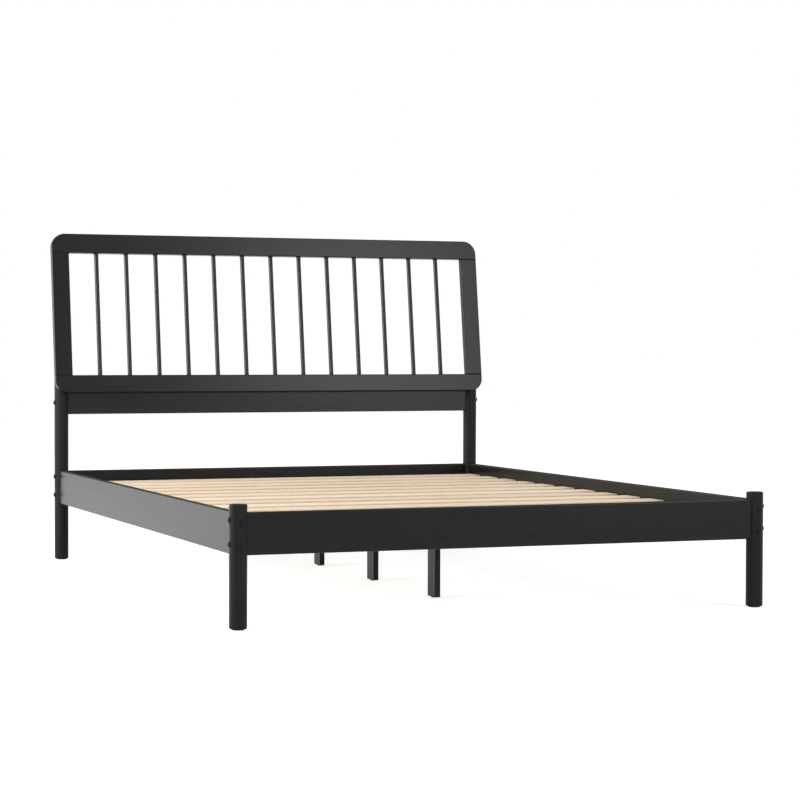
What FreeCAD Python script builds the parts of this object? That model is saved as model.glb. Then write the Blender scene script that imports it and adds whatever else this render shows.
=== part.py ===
import FreeCAD, Part
import math
import os
import Sketcher

# Spindle bed: a slatted deck between four round posts, with a spindle headboard that leans back.
#
# Millimetres. +X is to the right seen from the foot, +Y points to the headboard, +Z is up. The origin is on
# the floor, under the middle of the whole bed. Heights are measured from the floor.

# ---------------------------------------------------------------------------------------------------------
# Driving sizes: millimetres, degrees for the lean, plain numbers for the counts
# ---------------------------------------------------------------------------------------------------------

SIZES = [
    ("post_spacing_across", 1600.0, "post axis to post axis, side to side"),
    ("post_spacing_along", 2100.0, "post axis to post axis, foot to head"),
    ("post_diameter", 50.0, "round posts"),
    ("post_edge_radius", 3.5, "softened top and bottom edge of a post"),
    ("foot_post_height", 341.0, "top of a foot post"),
    ("head_post_drop", 12.0, "top of a head post below the top edge of the headboard's bottom rail"),

    ("rail_bottom_height", 202.0, "underside of the four bed rails"),
    ("rail_height", 116.5, "bed rails, on edge"),
    ("rail_thickness", 25.0, "bed rails"),
    ("cross_rail_drop", 79.0, "underside of the cross rail below the headboard's lower front edge"),
    ("cross_rail_height", 84.0, "cross rail, on edge"),
    ("cross_rail_thickness", 22.0, "cross rail"),
    ("arris_radius", 3.0, "softened long edges of the black boards"),
    ("mortise_depth", 8.25, "open mortise in a post, from the post's crown"),
    ("mortise_clearance", 0.25, "round the rail end in its mortise"),

    ("bolt_diameter", 8.0, "joint bolts"),
    ("bolt_head_diameter", 15.0, "flat wide heads"),
    ("bolt_head_thickness", 4.5, "flat wide heads"),
    ("bolt_head_edge", 1.2, "bevel round the head"),
    ("hex_key_width", 5.0, "socket in the head, across flats"),
    ("hex_key_depth", 3.0, "socket in the head"),
    ("bolt_tail", 3.0, "bolt end past its nut"),
    ("bolt_hole_clearance", 0.25, "all round a bolt in its hole"),
    ("spot_face_depth", 1.2, "flat seat cut into the post's crown for a head"),
    ("spot_face_clearance", 0.5, "all round a head on its seat"),
    ("rail_bolt_spacing", 66.0, "between the two bolts of a rail end"),
    ("bolt_stagger", 10.0, "bolts of an end rail above those of a side rail, so that they pass"),
    ("barrel_nut_diameter", 12.0, "cross dowel nuts in the rail ends"),
    ("barrel_nut_length", 15.0, "cross dowel nuts in the rail ends"),
    ("barrel_nut_inset", 30.0, "nut axis from the rail's end"),
    ("barrel_nut_clearance", 0.1, "round a nut in its hole, and round a bolt in its nut"),

    ("headboard_overhang", 31.0, "end of the headboard past the post axis"),
    ("headboard_length", 577.0, "bottom edge to top edge, measured up the lean"),
    ("headboard_thickness", 25.0, "rails and stiles of the headboard"),
    ("headboard_lean", 7.75, "degrees from upright"),
    ("headboard_bottom_height", 601.0, "lower front edge"),
    ("headboard_seat_rise", 18.0, "where its back meets the post's crown, above its lower front edge"),
    ("top_rail_width", 70.0, "board width, up the lean"),
    ("bottom_rail_width", 63.0, "board width, up the lean"),
    ("stile_width", 63.0, "board width"),
    ("top_corner_radius", 50.0, "upper corners"),
    ("bottom_corner_radius", 46.0, "lower corners"),
    ("spindle_count", 13, "spaced evenly between the stiles"),
    ("spindle_diameter", 16.0, "plain round spindles"),
    ("spindle_tenon", 12.0, "spindle end let into a rail"),
    ("spindle_chamfer", 1.0, "ends of a spindle"),
    ("socket_clearance", 0.1, "round a spindle or a dowel in its socket"),
    ("socket_end_gap", 0.5, "past the end of a spindle, dowel, bolt or insert"),
    ("dowel_diameter", 10.0, "stile dowels"),
    ("dowel_length", 50.0, "stile dowels"),
    ("dowel_spacing", 30.0, "two dowels in a stile end"),
    ("insert_diameter", 12.0, "threaded inserts in the headboard"),
    ("insert_length", 15.0, "threaded inserts in the headboard"),
    ("headboard_bolt_rise", 27.0, "lower insert above the headboard's bottom edge"),
    ("headboard_bolt_spacing", 20.0, "between the two bolts of a head post"),
    ("headboard_bolt_sink", 5.5, "bolt seat below the post's rear crown"),

    ("slat_count", 13, "spaced evenly between the end rails"),
    ("slat_width", 95.0, "pine slats"),
    ("slat_thickness", 18.0, "pine slats"),
    ("slat_edge_radius", 1.5, "softened long edges of the slats, ledgers and beam"),
    ("slat_drop", 37.5, "top of the slats below the top of the rails"),
    ("slat_end_gap", 3.0, "slat end to side rail"),
    ("ledger_width", 25.0, "cleat on a side rail"),
    ("ledger_height", 32.0, "cleat on a side rail"),
    ("ledger_end_gap", 6.0, "ledger end to post"),
    ("beam_width", 25.0, "centre beam"),
    ("beam_height", 58.0, "centre beam, on edge"),
    ("beam_end_gap", 1.0, "beam end to rail"),
    ("leg_width", 18.0, "centre legs, across the bed"),
    ("leg_depth", 60.0, "centre legs, along the bed"),
    ("leg_count", 3, "centre legs"),
    ("leg_spacing", 520.0, "between centre legs"),
    ("leg_offset", 10.0, "middle leg from the middle of the deck, towards the head"),
    ("leg_edge_radius", 1.5, "softened edges of a centre leg"),
    ("leg_bolt_length", 80.0, "hanger bolts, half in the leg and half in the beam"),
    ("hanger_sheet", 2.0, "steel of the beam hangers"),
    ("hanger_reach", 40.0, "cheeks of a beam hanger, along the beam"),
    ("hanger_flange", 26.0, "flanges of a beam hanger on the rail"),
    ("hanger_clearance", 0.4, "each side of the beam in its hanger"),
    ("hanger_screw_spacing", 34.0, "between the two screws of a flange"),

    ("screw_diameter", 4.0, "wood screws"),
    ("screw_head_diameter", 8.0, "wood screws"),
    ("screw_point", 3.0, "taper at the tip of a wood screw"),
    ("screw_sink", 0.4, "countersunk head below the wood's surface"),
    ("screw_hole_clearance", 0.1, "all round a wood screw"),
    ("slat_screw_bite", 12.0, "slat screw in the ledger or beam"),
    ("ledger_screw_bite", 15.0, "ledger screw in the side rail"),
    ("ledger_screw_count", 6, "screws along a ledger"),
    ("ledger_screw_spacing", 350.0, "between the screws of a ledger"),
    ("ledger_screw_rise", 10.0, "screw above the ledger's underside"),
    ("hanger_screw_bite", 16.0, "hanger screw in the end rail"),
    ("pan_head_thickness", 2.4, "hanger screws"),

    ("glide_thickness", 3.0, "plastic glides on the floor"),
    ("post_glide_diameter", 34.0, "under a post"),
    ("leg_glide_diameter", 16.0, "under a centre leg"),
    ("glide_pin_diameter", 4.0, "pin of a glide"),
    ("glide_pin_length", 12.0, "pin of a glide"),
]

doc = FreeCAD.newDocument("SpindleBed")
sheet = doc.addObject("Spreadsheet::Sheet", "Sizes")
for row, (alias, size, note) in enumerate(SIZES, start=1):
    sheet.set(f"A{row}", alias)
    sheet.set(f"B{row}", str(size))
    sheet.set(f"C{row}", note)
    sheet.setAlias(f"B{row}", alias)
doc.recompute()

# ---------------------------------------------------------------------------------------------------------
# Places and sizes that follow from the sheet, written as expressions
# ---------------------------------------------------------------------------------------------------------

POST_RADIUS = "(Sizes.post_diameter / 2)"
HALF_ACROSS = "(Sizes.post_spacing_across / 2)"
HALF_ALONG = "(Sizes.post_spacing_along / 2)"
MORTISE_FLOOR = f"({POST_RADIUS} - Sizes.mortise_depth)"
BOLT_SEAT = f"({POST_RADIUS} - Sizes.spot_face_depth)"
BOLT_HOLE = "(Sizes.bolt_diameter + 2 * Sizes.bolt_hole_clearance)"
BOLT_IN_RAIL = "(Sizes.barrel_nut_inset + Sizes.barrel_nut_diameter / 2 + Sizes.bolt_tail)"
BOLT_LENGTH = f"({BOLT_SEAT} + {MORTISE_FLOOR} + {BOLT_IN_RAIL})"
NUT_BORE = "(Sizes.bolt_diameter + 2 * Sizes.barrel_nut_clearance)"
SPOT_FACE = "(Sizes.bolt_head_diameter + 2 * Sizes.spot_face_clearance)"

RAIL_TOP = "(Sizes.rail_bottom_height + Sizes.rail_height)"
RAIL_MIDDLE = "(Sizes.rail_bottom_height + Sizes.rail_height / 2)"
HALF_RAIL = "(Sizes.rail_thickness / 2)"
END_RAIL_HALF_LENGTH = f"({HALF_ACROSS} - {MORTISE_FLOOR})"
SIDE_RAIL_HALF_LENGTH = f"({HALF_ALONG} - {MORTISE_FLOOR})"
END_BOLTS = [f"({RAIL_MIDDLE} + Sizes.bolt_stagger / 2 + Sizes.rail_bolt_spacing / 2)",
             f"({RAIL_MIDDLE} + Sizes.bolt_stagger / 2 - Sizes.rail_bolt_spacing / 2)"]
SIDE_BOLTS = [f"({RAIL_MIDDLE} - Sizes.bolt_stagger / 2 + Sizes.rail_bolt_spacing / 2)",
              f"({RAIL_MIDDLE} - Sizes.bolt_stagger / 2 - Sizes.rail_bolt_spacing / 2)"]
CROSS_RAIL_BOTTOM = "(Sizes.headboard_bottom_height - Sizes.cross_rail_drop)"
CROSS_RAIL_TOP = f"({CROSS_RAIL_BOTTOM} + Sizes.cross_rail_height)"
CROSS_BOLT = f"({CROSS_RAIL_BOTTOM} + Sizes.cross_rail_height / 2)"

# The leaning headboard: its frame stands on the lower back edge, with Y up the lean and Z out of the front
LEAN = "Sizes.headboard_lean"
HEADBOARD_BASE = f"(Sizes.headboard_bottom_height - Sizes.headboard_thickness * sin({LEAN}))"
HEADBOARD_SEAT = "(Sizes.headboard_bottom_height + Sizes.headboard_seat_rise)"
HEADBOARD_BACK = f"(({HEADBOARD_BASE} - {HEADBOARD_SEAT}) * tan({LEAN}) - {POST_RADIUS})"
HALF_HEADBOARD = f"({HALF_ACROSS} + Sizes.headboard_overhang)"
WINDOW_HALF = f"({HALF_HEADBOARD} - Sizes.stile_width)"
WINDOW_BOTTOM = "Sizes.bottom_rail_width"
WINDOW_TOP = "(Sizes.headboard_length - Sizes.top_rail_width)"
HALF_BOARD = "(Sizes.headboard_thickness / 2)"
SPINDLE_PITCH = f"((2 * {WINDOW_HALF} + Sizes.spindle_diameter) / (Sizes.spindle_count + 1))"
SPINDLE_FIRST = f"(-{SPINDLE_PITCH} * (Sizes.spindle_count - 1) / 2)"
SPINDLE_SOCKET = "(Sizes.spindle_diameter + 2 * Sizes.socket_clearance)"
STILE_MIDDLE = f"({HALF_HEADBOARD} - Sizes.stile_width / 2)"
DOWEL_SOCKET = "(Sizes.dowel_diameter + 2 * Sizes.socket_clearance)"
DOWEL_SOCKET_DEPTH = "(Sizes.dowel_length / 2 + Sizes.socket_end_gap)"
HEADBOARD_BOLTS = ["Sizes.headboard_bolt_rise", "(Sizes.headboard_bolt_rise + Sizes.headboard_bolt_spacing)"]
HEADBOARD_GRIP = "(Sizes.post_diameter - Sizes.headboard_bolt_sink)"
HEAD_POST_HEIGHT = (f"(Sizes.headboard_bottom_height + Sizes.bottom_rail_width * cos({LEAN})"
                    " - Sizes.head_post_drop)")

# The origin is under the middle of the whole length, from the foot bolts' heads to the headboard's top
FOOT_REACH = f"({BOLT_SEAT} + Sizes.bolt_head_thickness)"
TOP_EDGE_REACH = (f"({HEADBOARD_BACK} + Sizes.headboard_length * sin({LEAN})"
                  f" - Sizes.arris_radius * (sin({LEAN}) + cos({LEAN}) - 1))")
HEAD_REACH = f"max({TOP_EDGE_REACH}; {FOOT_REACH})"
MIDDLE = f"(({FOOT_REACH} - {HEAD_REACH}) / 2)"

SLAT_TOP = f"({RAIL_TOP} - Sizes.slat_drop)"
SLAT_BOTTOM = f"({SLAT_TOP} - Sizes.slat_thickness)"
SLAT_PITCH = "((Sizes.post_spacing_along - Sizes.rail_thickness) / Sizes.slat_count)"
SLAT_FIRST = f"(-{SLAT_PITCH} * (Sizes.slat_count - 1) / 2)"
INNER_HALF_ACROSS = f"({HALF_ACROSS} - {HALF_RAIL})"
INNER_HALF_ALONG = f"({HALF_ALONG} - {HALF_RAIL})"
LEDGER_MIDDLE = f"({INNER_HALF_ACROSS} - Sizes.ledger_width / 2)"
LEDGER_BOTTOM = f"({SLAT_BOTTOM} - Sizes.ledger_height)"
LEDGER_HALF_LENGTH = f"({HALF_ALONG} - {POST_RADIUS} - Sizes.ledger_end_gap)"
LEDGER_SCREW_HEIGHT = f"({LEDGER_BOTTOM} + Sizes.ledger_screw_rise)"
LEDGER_SCREW_FIRST = "(-Sizes.ledger_screw_spacing * (Sizes.ledger_screw_count - 1) / 2)"
BEAM_BOTTOM = f"({SLAT_BOTTOM} - Sizes.beam_height)"
BEAM_HALF_LENGTH = f"({INNER_HALF_ALONG} - Sizes.beam_end_gap)"
BEAM_MIDDLE = f"({SLAT_BOTTOM} - Sizes.beam_height / 2)"
LEG_FIRST = "(Sizes.leg_offset - Sizes.leg_spacing * (Sizes.leg_count - 1) / 2)"
LEG_SOCKET_DEPTH = "(Sizes.leg_bolt_length / 2 + Sizes.socket_end_gap)"
HANGER_CHEEK = "(Sizes.beam_width / 2 + Sizes.hanger_clearance)"
HANGER_SCREW_X = f"({HANGER_CHEEK} + Sizes.hanger_sheet + Sizes.hanger_flange / 2)"
HANGER_SCREWS = [f"({BEAM_MIDDLE} + Sizes.hanger_screw_spacing / 2)",
                 f"({BEAM_MIDDLE} - Sizes.hanger_screw_spacing / 2)"]

SCREW_HOLE = "(Sizes.screw_diameter + 2 * Sizes.screw_hole_clearance)"
SCREW_CONE = "((Sizes.screw_head_diameter - Sizes.screw_diameter) / 2)"
COUNTERSINK = f"({SCREW_CONE} + Sizes.screw_sink)"
SLAT_SCREW_LENGTH = "(Sizes.slat_thickness + Sizes.slat_screw_bite - Sizes.screw_sink)"
LEDGER_SCREW_LENGTH = "(Sizes.ledger_width + Sizes.ledger_screw_bite - Sizes.screw_sink)"
GLIDE_PIN_HOLE = "(Sizes.glide_pin_diameter + 2 * Sizes.screw_hole_clearance)"
GLIDE_PIN_SOCKET = "(Sizes.glide_pin_length + Sizes.socket_end_gap)"

LEFT, RIGHT = -1, 1
FOOT, HEAD = -1, 1
OPEN_END = 1.0          # how far a cut runs out past the surface that it opens
ROUNDING = 1e-6         # numbers closer than this are the same


def number(expression):
    """The value of an expression of the sheet."""
    result = sheet.evalExpression(expression)
    return float(getattr(result, "Value", result))


def count(alias):
    return int(number("Sizes." + alias))


def is_same(one, other):
    """Whether two numbers are alike to within rounding."""
    return math.isclose(one, other, rel_tol=0, abs_tol=ROUNDING)


# ---------------------------------------------------------------------------------------------------------
# Sketches on a body's own origin planes
# ---------------------------------------------------------------------------------------------------------

# The way a sketch on each origin plane faces, along that plane's own axis
FACING = {"XY_Plane": 1, "YZ_Plane": 1, "XZ_Plane": -1}
AXES = {"X": "X_Axis", "Y": "Y_Axis", "Z": "Z_Axis"}

# How a sketch counts its own origin, its axes, and the points of a line or a circle
ORIGIN_INDEX = (-1, 1)
LEVEL_AXIS_INDEX, UPRIGHT_AXIS_INDEX = -1, -2
START_INDEX, END_INDEX, CENTRE_INDEX = 1, 2, 3


def origin_feature(body, role):
    return next(item for item in body.Origin.OriginFeatures if item.Role == role)


def new_body(label, x="0", y="0", z="0", tilt=None):
    """A body at a place given by expressions, tipped about X where a tilt is given."""
    body = doc.addObject("PartDesign::Body", label)
    body.Label = label
    if tilt is not None:
        body.Placement = FreeCAD.Placement(FreeCAD.Vector(), FreeCAD.Rotation(FreeCAD.Vector(1, 0, 0), 1))
        body.setExpression("Placement.Rotation.Angle", tilt)
    for axis, place in zip("xyz", (x, y, z)):
        body.setExpression(f"Placement.Base.{axis}", place)
    return body


def headboard_body(label, x="0"):
    """A body in the leaning frame of the headboard."""
    return new_body(label, x=x, y=f"{MIDDLE} + {HALF_ALONG} + {HEADBOARD_BACK}", z=HEADBOARD_BASE,
                    tilt=f"90 - {LEAN}")


def new_sketch(body, name, plane, offset="0", shift=("0", "0")):
    """A sketch on an origin plane, offset along that plane's own axis and shifted within it."""
    sketch = body.newObject("Sketcher::SketchObject", name)
    sketch.AttachmentSupport = [(origin_feature(body, plane), "")]
    sketch.MapMode = "FlatFace"
    sketch.setExpression("AttachmentOffset.Base.x", shift[0])
    sketch.setExpression("AttachmentOffset.Base.y", shift[1])
    sketch.setExpression("AttachmentOffset.Base.z", f"{FACING[plane]} * ({offset})")
    return sketch


def place_point(sketch, element, point, x, y):
    """Hold one point of the sketch at two signed distances from the sketch's origin."""
    for axis, line_index, distance in (("X", UPRIGHT_AXIS_INDEX, x), ("Y", LEVEL_AXIS_INDEX, y)):
        value = number(distance)
        if is_same(value, 0):
            sketch.addConstraint(Sketcher.Constraint("PointOnObject", element, point, line_index))
            continue
        index = sketch.addConstraint(Sketcher.Constraint("Distance" + axis, *ORIGIN_INDEX, element, point,
                                                         value))
        sketch.setExpression(f"Constraints[{index}]", distance)


def draw_outline(sketch, corners):
    """A closed outline of straight lines through corners given as pairs of expressions."""
    points = [FreeCAD.Vector(number(x), number(y), 0) for x, y in corners]
    first = sketch.GeometryCount
    for start, end in zip(points, points[1:] + points[:1]):
        sketch.addGeometry(Part.LineSegment(start, end))
    for index in range(len(corners)):
        following = (index + 1) % len(corners)
        sketch.addConstraint(Sketcher.Constraint("Coincident", first + index, END_INDEX, first + following,
                                                 START_INDEX))
    for index, (x, y) in enumerate(corners):
        place_point(sketch, first + index, START_INDEX, x, y)


def draw_rectangle(sketch, left, right, bottom, top):
    draw_outline(sketch, [(left, bottom), (right, bottom), (right, top), (left, top)])


def draw_circles(sketch, diameter, centres):
    for x, y in centres:
        circle = sketch.addGeometry(Part.Circle(FreeCAD.Vector(number(x), number(y), 0),
                                                FreeCAD.Vector(0, 0, 1), number(diameter) / 2))
        place_point(sketch, circle, CENTRE_INDEX, x, y)
        index = sketch.addConstraint(Sketcher.Constraint("Diameter", circle, number(diameter)))
        sketch.setExpression(f"Constraints[{index}]", diameter)


# ---------------------------------------------------------------------------------------------------------
# Features
# ---------------------------------------------------------------------------------------------------------

def plane_of(sketch):
    return sketch.AttachmentSupport[0][0].Role


def pad(sketch, length, toward=None):
    """Pad a sketch toward + or - along its plane's own axis, or both ways alike."""
    body = sketch.getParentGeoFeatureGroup()
    feature = body.newObject("PartDesign::Pad", sketch.Name + "_pad")
    feature.Profile = (sketch, [""])
    feature.setExpression("Length", length)
    if toward is None:
        feature.SideType = "Symmetric"
    else:
        feature.Reversed = toward != FACING[plane_of(sketch)]
    return feature


def pocket(sketch, toward=None, depth=None):
    """Cut a sketch toward + or - along its plane's own axis, or both ways; through all without a depth."""
    body = sketch.getParentGeoFeatureGroup()
    doc.recompute()
    before = body.Shape.Volume
    feature = body.newObject("PartDesign::Pocket", sketch.Name + "_pocket")
    feature.Profile = (sketch, [""])
    if depth is None:
        feature.Type = "ThroughAll"
    else:
        feature.setExpression("Length", depth)
    if toward is None:
        feature.SideType = "Symmetric"
    else:
        feature.Reversed = toward == FACING[plane_of(sketch)]
    doc.recompute()
    if not feature.Shape.Volume < before:
        raise RuntimeError(f"{feature.Name} cuts nothing")
    return feature


def revolve(sketch, axis):
    """A full turn about one of the sketch's own axes."""
    body = sketch.getParentGeoFeatureGroup()
    feature = body.newObject("PartDesign::Revolution", sketch.Name + "_turn")
    feature.Profile = (sketch, [""])
    feature.ReferenceAxis = (sketch, [axis])
    return feature


def edges_where(feature, test):
    doc.recompute()
    return [f"Edge{index}" for index, edge in enumerate(feature.Shape.Edges, start=1) if test(edge)]


def soften(feature, size, test, kind="Fillet"):
    """Fillet or chamfer the edges of a feature that pass a test."""
    body = feature.getParentGeoFeatureGroup()
    softened = body.newObject("PartDesign::" + kind, f"{feature.Name}_{kind.lower()}")
    softened.Base = (feature, edges_where(feature, test))
    softened.setExpression("Radius" if kind == "Fillet" else "Size", size)
    return softened


def is_straight(edge):
    return isinstance(edge.Curve, Part.Line)


def runs_along(axis):
    """A test for straight edges that run along an axis of the body."""
    direction = FreeCAD.Vector(*(float(axis == name) for name in "XYZ"))

    def test(edge):
        return is_straight(edge) and is_same(abs(edge.tangentAt(edge.FirstParameter).dot(direction)), 1)
    return test


def is_circle(edge):
    return isinstance(edge.Curve, Part.Circle)


def circle_at(axis, place, diameter):
    """A test for whole circles of a diameter at a place along an axis of the body."""
    def test(edge):
        if not is_circle(edge) or not is_same(edge.Curve.Radius * 2, number(diameter)):
            return False
        return is_same(getattr(edge.Curve.Center, axis.lower()), number(place))
    return test


def mirror(features, plane):
    body = features[0].getParentGeoFeatureGroup()
    feature = body.newObject("PartDesign::Mirrored", features[0].Name + "_mirror")
    feature.Originals = features
    feature.MirrorPlane = (origin_feature(body, plane), [""])
    body.Tip = feature
    return feature


def set_spacing(pattern, axis, spacing, copies):
    body = pattern.getParentGeoFeatureGroup()
    pattern.Direction = (origin_feature(body, AXES[axis]), [""])
    pattern.Mode = "Spacing"
    pattern.setExpression("Offset", spacing)
    pattern.setExpression("Occurrences", copies)


def row(features, axis, spacing, copies):
    """Repeat features in a row along an axis of the body."""
    body = features[0].getParentGeoFeatureGroup()
    feature = body.newObject("PartDesign::LinearPattern", features[0].Name + "_row")
    feature.Originals = features
    set_spacing(feature, axis, spacing, copies)
    body.Tip = feature
    return feature


def repeat(features, mirrors=(), rows=()):
    """Repeat features in mirror planes and in rows, each step repeating what the one before it made."""
    body = features[0].getParentGeoFeatureGroup()
    feature = body.newObject("PartDesign::MultiTransform", features[0].Name + "_copies")
    feature.Originals = features
    steps = []
    for plane in mirrors:
        step = body.newObject("PartDesign::Mirrored", f"{feature.Name}_{plane}")
        step.MirrorPlane = (origin_feature(body, plane), [""])
        steps.append(step)
    for axis, spacing, copies in rows:
        step = body.newObject("PartDesign::LinearPattern", f"{feature.Name}_{axis}")
        set_spacing(step, axis, spacing, copies)
        steps.append(step)
    feature.Transformations = steps
    body.Tip = feature
    return feature


# ---------------------------------------------------------------------------------------------------------
# Posts
# ---------------------------------------------------------------------------------------------------------

def cut_mortise(body, name, plane_axis, toward, thickness, bottom, height):
    """An open mortise in a post for a rail end that comes from one side."""
    clearance = "Sizes.mortise_clearance"
    near = f"{toward} * {MORTISE_FLOOR}"
    far = f"{toward} * ({POST_RADIUS} + {OPEN_END})"
    low, high = sorted((near, far), key=number)
    half = f"({thickness} / 2 + {clearance})"
    sketch = new_sketch(body, name, "XY_Plane", offset=f"{bottom} - {clearance}")
    if plane_axis == "X":
        draw_rectangle(sketch, low, high, f"-{half}", half)
    else:
        draw_rectangle(sketch, f"-{half}", half, low, high)
    pocket(sketch, toward=1, depth=f"{height} + 2 * {clearance}")


def bore_post(body, name, plane, outward, heights):
    """Bolt holes through a post, with a flat seat for each head on its outer side."""
    centres = [("0", height) for height in heights]
    bores = new_sketch(body, name + "_bores", plane)
    draw_circles(bores, BOLT_HOLE, centres)
    pocket(bores)
    seats = new_sketch(body, name + "_seats", plane, offset=f"{outward} * {BOLT_SEAT}")
    draw_circles(seats, SPOT_FACE, centres)
    pocket(seats, toward=outward)


def make_post(label, side, end, height):
    """A round post, mortised and bored for the end rail and the side rail that meet in it."""
    body = new_body(label, x=f"{side} * {HALF_ACROSS}", y=f"{MIDDLE} + {end} * {HALF_ALONG}")
    section = new_sketch(body, label + "_section", "XY_Plane", offset="Sizes.glide_thickness")
    draw_circles(section, "Sizes.post_diameter", [("0", "0")])
    shaft = pad(section, f"{height} - Sizes.glide_thickness", toward=1)
    soften(shaft, "Sizes.post_edge_radius", is_circle)

    pin_hole = new_sketch(body, label + "_pin_hole", "XY_Plane", offset="Sizes.glide_thickness")
    draw_circles(pin_hole, GLIDE_PIN_HOLE, [("0", "0")])
    pocket(pin_hole, toward=1, depth=GLIDE_PIN_SOCKET)

    rail = ("Sizes.rail_thickness", "Sizes.rail_bottom_height", "Sizes.rail_height")
    cut_mortise(body, label + "_end_mortise", "X", -side, *rail)
    cut_mortise(body, label + "_side_mortise", "Y", -end, *rail)
    bore_post(body, label + "_end", "YZ_Plane", side, END_BOLTS)
    bore_post(body, label + "_side", "XZ_Plane", end, SIDE_BOLTS)
    return body


def lean_sketch(body, name, offset="0"):
    """A sketch in the plane of the headboard's back, or offset toward its front."""
    sketch = body.newObject("Sketcher::SketchObject", name)
    sketch.AttachmentSupport = [(origin_feature(body, "XZ_Plane"), "")]
    sketch.MapMode = "FlatFace"
    sketch.AttachmentOffset = FreeCAD.Placement(FreeCAD.Vector(),
                                                FreeCAD.Rotation(FreeCAD.Vector(-1, 0, 0), 1))
    sketch.setExpression("AttachmentOffset.Rotation.Angle", LEAN)
    sketch.setExpression("AttachmentOffset.Base.y", f"{HEADBOARD_BASE} + ({offset}) * sin({LEAN})")
    sketch.setExpression("AttachmentOffset.Base.z", f"({offset}) * cos({LEAN}) - {HEADBOARD_BACK}")
    return sketch


def make_head_post(label, side):
    """A head post: also carries the cross rail, and the headboard on a leaning flat at its top."""
    body = make_post(label, side, HEAD, HEAD_POST_HEIGHT)
    cut_mortise(body, label + "_cross_mortise", "X", -side, "Sizes.cross_rail_thickness",
                CROSS_RAIL_BOTTOM, "Sizes.cross_rail_height")
    bore_post(body, label + "_cross", "YZ_Plane", side, [CROSS_BOLT])

    flat = lean_sketch(body, label + "_lean_flat")
    draw_rectangle(flat, f"-{POST_RADIUS} - {OPEN_END}", f"{POST_RADIUS} + {OPEN_END}",
                   "0", "Sizes.headboard_length")
    pocket(flat, toward=-1)
    centres = [("0", rise) for rise in HEADBOARD_BOLTS]
    bores = lean_sketch(body, label + "_headboard_bores", offset=OPEN_END)
    draw_circles(bores, BOLT_HOLE, centres)
    pocket(bores, toward=1)
    seats = lean_sketch(body, label + "_headboard_seats", offset=f"-{HEADBOARD_GRIP}")
    draw_circles(seats, SPOT_FACE, centres)
    pocket(seats, toward=1)
    return body


# ---------------------------------------------------------------------------------------------------------
# Bolted rails
# ---------------------------------------------------------------------------------------------------------

# For a rail along each axis: the plane of its section and the plane of its broad faces
RAIL_PLANES = {"X": ("YZ_Plane", "XZ_Plane"), "Y": ("XZ_Plane", "YZ_Plane")}


def make_rail(label, axis, place, half_length, thickness, bottom, top, bolts, inner):
    """A board on edge between two posts, with a bore and a barrel nut hole for each bolt of its ends."""
    section_plane, face_plane = RAIL_PLANES[axis]
    body = new_body(label, **place)
    section = new_sketch(body, label + "_section", section_plane)
    draw_rectangle(section, f"-{thickness} / 2", f"{thickness} / 2", bottom, top)
    board = pad(section, f"2 * {half_length}")
    soften(board, "Sizes.arris_radius", runs_along(axis))

    bores = new_sketch(body, label + "_bores", section_plane, offset=half_length)
    draw_circles(bores, BOLT_HOLE, [("0", height) for height in bolts])
    bore = pocket(bores, toward=-1, depth=f"{BOLT_IN_RAIL} + Sizes.socket_end_gap")
    nuts = new_sketch(body, label + "_nut_holes", face_plane, offset=f"{inner} * {thickness} / 2")
    draw_circles(nuts, "Sizes.barrel_nut_diameter + 2 * Sizes.barrel_nut_clearance",
                 [(f"{half_length} - Sizes.barrel_nut_inset", height) for height in bolts])
    nut_hole = pocket(nuts, toward=-inner,
                      depth=f"{thickness} / 2 + Sizes.barrel_nut_length / 2 + Sizes.socket_end_gap")
    mirror([bore, nut_hole], section_plane)
    return body


def make_end_rail(label, end):
    """The foot or head rail, with pilot holes for the beam hanger's screws."""
    body = make_rail(label, "X", {"y": f"{MIDDLE} + {end} * {HALF_ALONG}"}, END_RAIL_HALF_LENGTH,
                     "Sizes.rail_thickness", "Sizes.rail_bottom_height", RAIL_TOP, END_BOLTS, -end)
    pilots = new_sketch(body, label + "_hanger_pilots", "XZ_Plane", offset=f"{-end} * {HALF_RAIL}")
    draw_circles(pilots, SCREW_HOLE, [(f"{side} * {HANGER_SCREW_X}", height)
                                      for side in (LEFT, RIGHT) for height in HANGER_SCREWS])
    pocket(pilots, toward=end, depth="Sizes.hanger_screw_bite + Sizes.socket_end_gap")
    return body


def make_side_rail(label, side):
    """A side rail, with pilot holes for its ledger's screws."""
    body = make_rail(label, "Y", {"x": f"{side} * {HALF_ACROSS}", "y": MIDDLE}, SIDE_RAIL_HALF_LENGTH,
                     "Sizes.rail_thickness", "Sizes.rail_bottom_height", RAIL_TOP, SIDE_BOLTS, -side)
    pilot = new_sketch(body, label + "_ledger_pilot", "YZ_Plane", offset=f"{-side} * {HALF_RAIL}")
    draw_circles(pilot, SCREW_HOLE, [(LEDGER_SCREW_FIRST, LEDGER_SCREW_HEIGHT)])
    hole = pocket(pilot, toward=side, depth="Sizes.ledger_screw_bite + Sizes.socket_end_gap")
    row([hole], "Y", "Sizes.ledger_screw_spacing", "Sizes.ledger_screw_count")
    return body


def make_cross_rail(label):
    return make_rail(label, "X", {"y": f"{MIDDLE} + {HALF_ALONG}"}, END_RAIL_HALF_LENGTH,
                     "Sizes.cross_rail_thickness", CROSS_RAIL_BOTTOM, CROSS_RAIL_TOP, [CROSS_BOLT], HEAD)


# ---------------------------------------------------------------------------------------------------------
# Headboard
# ---------------------------------------------------------------------------------------------------------

def on_broad_faces(edge):
    """Edges of a headboard board that lie in its front or its back."""
    heights = [vertex.Point.z for vertex in edge.Vertexes]
    is_level = is_same(min(heights), max(heights))
    return is_level and (is_same(heights[0], 0) or is_same(heights[0], number("Sizes.headboard_thickness")))


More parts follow.
